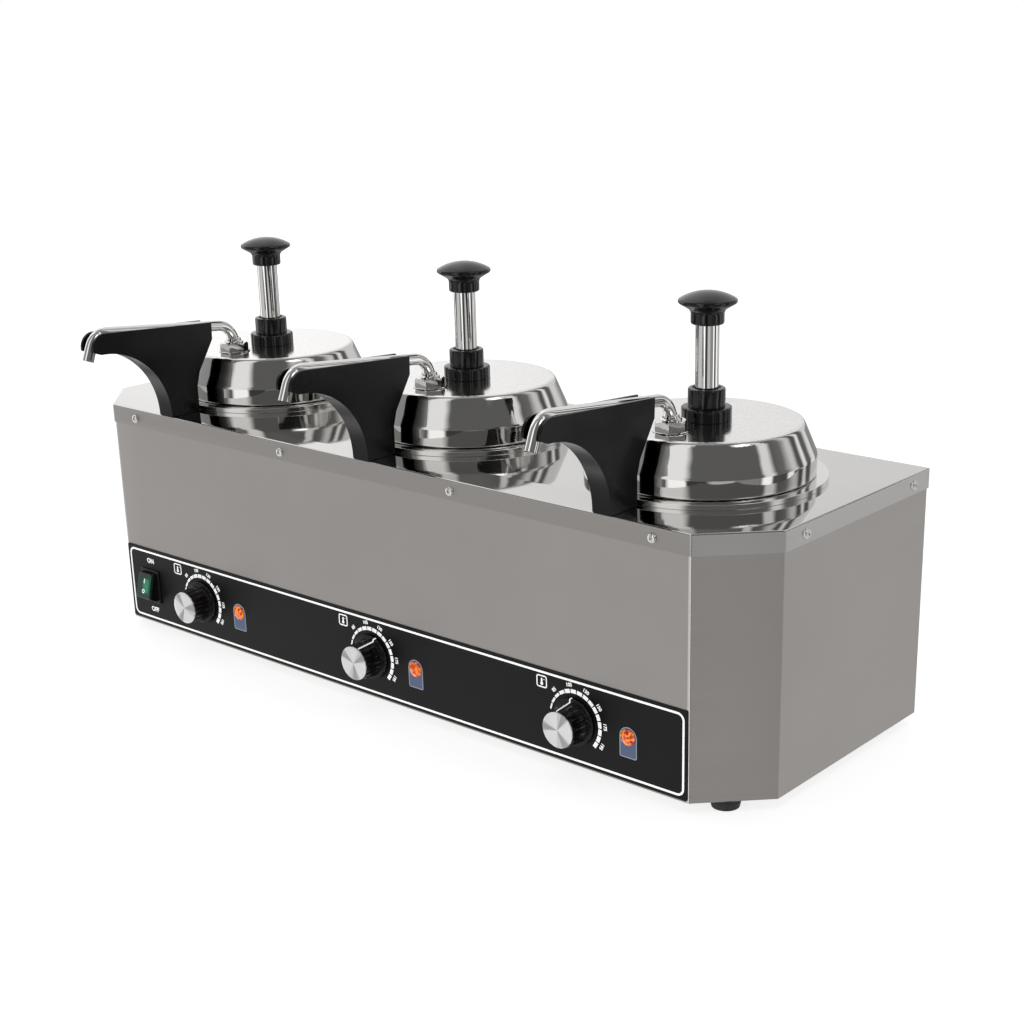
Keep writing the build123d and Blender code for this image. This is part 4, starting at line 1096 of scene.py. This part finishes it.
rotation = first(tree, "FunctionNodeRotateRotation", rotation, rotation_space="LOCAL")
end_tree(tree, set_out(tree, given["Geometry"], whole.outputs[0], rotation), screw_zinc)

spots = bpy.data.meshes.new("screw_places")
spots.from_pydata(screw_places, [], [])
directions = spots.attributes.new("facing", "FLOAT_VECTOR", "POINT")
directions.data.foreach_set("vector", [v for a in screw_facing for v in a])
screws = smoothed(grow(tree, screw_sizes, screw_zinc, spots), 35)
add_stand_in("screw_heads", screws, "case_screws")
print("screws", len(screws.polygons), "faces")

# %% [markdown]
# ## Return springs
#
# Under each plunger a coil pushes the pump back up. A spiral curve with a round wire swept along it
# is the plain way to wind one. The plunger carries it.

# %% Springs
coil_low, coil_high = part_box("return_spring_centre")
coil_room = coil_high.z - coil_low.z
wire, stroke = 1.0 * mm, 45 * mm
coil_sizes = {"Turns": 7.0, "Coil Radius": 11.0 * mm, "Coil Height": coil_room - 2 * wire,
              "Wire Radius": wire}
tree, given = new_tree("spring", **coil_sizes)
wound = first(tree, "GeometryNodeCurveSpiral", {"Resolution": 40, "Rotations": given["Turns"],
              "Start Radius": given["Coil Radius"], "End Radius": given["Coil Radius"],
              "Height": given["Coil Height"]})
section = first(tree, "GeometryNodeCurvePrimitiveCircle", {"Resolution": 12, "Radius": given["Wire Radius"]},
                mode="RADIUS")
swept = first(tree, "GeometryNodeCurveToMesh", {"Curve": wound, "Profile Curve": section, "Fill Caps": True})
end_tree(tree, swept, spring_wire)
coil = grow(tree, coil_sizes, spring_wire)
coil.polygons.foreach_set("use_smooth", [True] * len(coil.polygons))
for side in sides:
    over = middle(f"return_spring_{side}").xy
    mesh = moved_copy(coil, (*over, coil_low.z + wire))
    piece = add_stand_in(f"coil_spring_{side}", mesh, f"return_spring_{side}")
    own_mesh(piece)
print("spring", len(coil.polygons), "faces")

# %% [markdown]
# ## Ferrule and washer of the discharge tube
#
# Under each bent tube a plain washer spreads the nut's load on the lid, and a turned ferrule closes
# the nut round the tube. Both are turned rings, and a ring needs only its cut outline.

# %% Tube fittings
nut_foot, nut_roof = [corner.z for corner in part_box("tube_nut_centre")]
washer_line = in_mm([(7.0, 0.02), (13.0, 0.02), (13.6, 0.35), (13.6, 0.75), (13.2, 1.0), (7.0, 1.0)])
ferrule_line = in_mm([(4.78, -1.0), (8.2, -1.0), (8.2, 0.9), (7.7, 1.3), (6.5, 1.6), (6.2, 2.2), (6.2, 3.6),
                      (5.8, 4.1), (4.78, 4.3)])
washer, ferrule = [turned(line, 64, chrome) for line in (washer_line, ferrule_line)]
for side in sides:
    over = middle(f"tube_nut_{side}").xy
    fitting = joined([(washer, (*over, nut_foot)), (ferrule, (*over, nut_roof))])
    add_piece(f"tube_fitting_{side}", fitting, f"pump_{side}", "chromed")
print("fittings above", round(nut_foot, 4))

# %% [markdown]
# ## Floor, light and camera
#
# A product picture is taken on a pale sweep with large soft lights. Steel shows nothing but its
# surroundings, so the surroundings are painted in the world: bright behind and above, one bright
# soft box in front, and dark gaps that give the lids their contrast.

# %% Floor
floor_front, floor_back, floor_side = -0.60, 9.0, 9.0
floor_corners = [(-floor_side, floor_front, 0), (floor_side, floor_front, 0),
                 (floor_side, floor_back, 0), (-floor_side, floor_back, 0)]
floor_mesh = bpy.data.meshes.new("floor")
floor_mesh.from_pydata(floor_corners, [], [(0, 1, 2, 3)])
floor_mesh.materials.append(plain("floor_paint", (0.45, 0.45, 0.45), 0.0, 0.9, Emission_Color=(1, 1, 1, 1),
                                  Emission_Strength=0.78))
floor = new_object("floor", floor_mesh)
floor.visible_glossy = False
print("floor from", floor_front, "to", floor_back)

# %% Soft studio world
world = bpy.data.worlds.new("studio")
scene.world = world
world.use_nodes = True
sky = world.node_tree
direction = xyz(sky, node(sky, "ShaderNodeTexCoord").outputs["Generated"])
turns = calculate(sky, "DIVIDE", calculate(sky, "ARCTAN2", direction["Y"], direction["X"]), 2 * math.pi)
turns = calculate(sky, "FRACT", calculate(sky, "ADD", turns, 1.0))


def painted_round(bearings):
    """Brightness by bearing, from (degrees from +X over the back, brightness) pairs."""
    ramp = node(sky, "ShaderNodeValToRGB", {"Fac": turns})
    stops = ramp.color_ramp.elements
    while len(stops) > 1:
        stops.remove(stops[0])
    brightest = max(value for _, value in bearings)
    stops[0].position = bearings[0][0] / 360
    for index, (bearing, value) in enumerate(bearings):
        stop = stops[0] if index == 0 else stops.new(bearing / 360)
        stop.color = (value / brightest,) * 3 + (1,)
    return product(sky, ramp.outputs["Color"], brightest)


above = painted_round([
    (0, 0.15), (6, 0.15), (10, 1.0), (18, 1.0), (24, 0.15), (36, 0.2), (46, 0.8), (51, 0.8), (56, 0.12),
    (61, 0.12), (65, 1.1), (68, 1.1), (71, 0.15), (78, 0.15), (84, 0.9), (110, 0.8), (128, 0.88), (142, 1.12),
    (160, 0.9), (170, 0.8), (178, 1.4), (194, 1.4), (206, 0.4), (235, 0.3), (256, 0.2), (262, 1.15),
    (282, 1.15), (290, 0.15), (325, 0.15)])
below = painted_round([
    (0, 0.25), (3, 0.3), (6, 1.4), (15, 1.4), (18, 0.10), (36, 0.08), (39, 1.2), (47, 1.2), (49, 0.08),
    (56, 0.08), (58, 1.1), (66, 1.1), (68, 0.08), (78, 0.1), (80, 1.0), (90, 1.0), (94, 0.3), (178, 0.4),
    (184, 1.3), (200, 1.3), (208, 0.5), (235, 0.65), (250, 0.65), (263, 0.10), (267, 1.4), (284, 1.4),
    (287, 0.06), (306, 0.06), (312, 0.60), (332, 0.60), (336, 0.3)])
round_about = mix(sky, between(sky, direction["Z"], 0.0, 1.0, -0.06, 0.04), below, above)
paths = node(sky, "ShaderNodeLightPath").outputs
ceiling = mix(sky, paths["Is Glossy Ray"], 1.35, 0.30)
light = mix(sky, between(sky, direction["Z"], 0.0, 1.0, 0.86, 0.97), round_about, ceiling)
# a small strong box at the front right, for soft glints on gloss only
box_strength = 3.2
box_round = painted_round([(0, 1.0), (8, 0.0), (338, 0.0), (350, 1.0)])
box_from = between(sky, direction["Z"], 0.0, 1.0, 0.52, 0.66)
box_to = between(sky, direction["Z"], 1.0, 0.0, 0.72, 0.84)
box = product(sky, box_round, box_from, box_to, paths["Is Glossy Ray"], box_strength)
light = calculate(sky, "ADD", light, box)
background = sky.nodes["Background"]
sky.links.new(mix(sky, paths["Is Camera Ray"], light, 1.0), background.inputs["Color"])
background.inputs["Strength"].default_value = 1.0
scene.view_settings.view_transform = "Standard"
print("world painted above and below the horizon")

# %% Camera
camera_place = (0.9689, -0.99626, 0.5644)
camera_bearing, camera_down, camera_roll = [math.radians(v) for v in (40.23, 19.44, -0.965)]
camera_data = bpy.data.cameras.new("camera")
camera = new_object("camera", camera_data)
scene.camera = camera
right = Vector((math.cos(camera_bearing), math.sin(camera_bearing), 0))
ahead = Vector((-right.y, right.x, -math.tan(camera_down))).normalized()
upright = Matrix((right, right.cross(ahead), -ahead)).transposed().to_4x4()
camera.matrix_world = Matrix.Translation(camera_place) @ upright @ Matrix.Rotation(camera_roll, 4, "Z")
camera_data.lens = 61.53
camera_data.sensor_width = 36.0
camera_data.shift_x = -0.0480
camera_data.shift_y = 0.0747
print("camera at", [round(v, 3) for v in camera.matrix_world.translation])
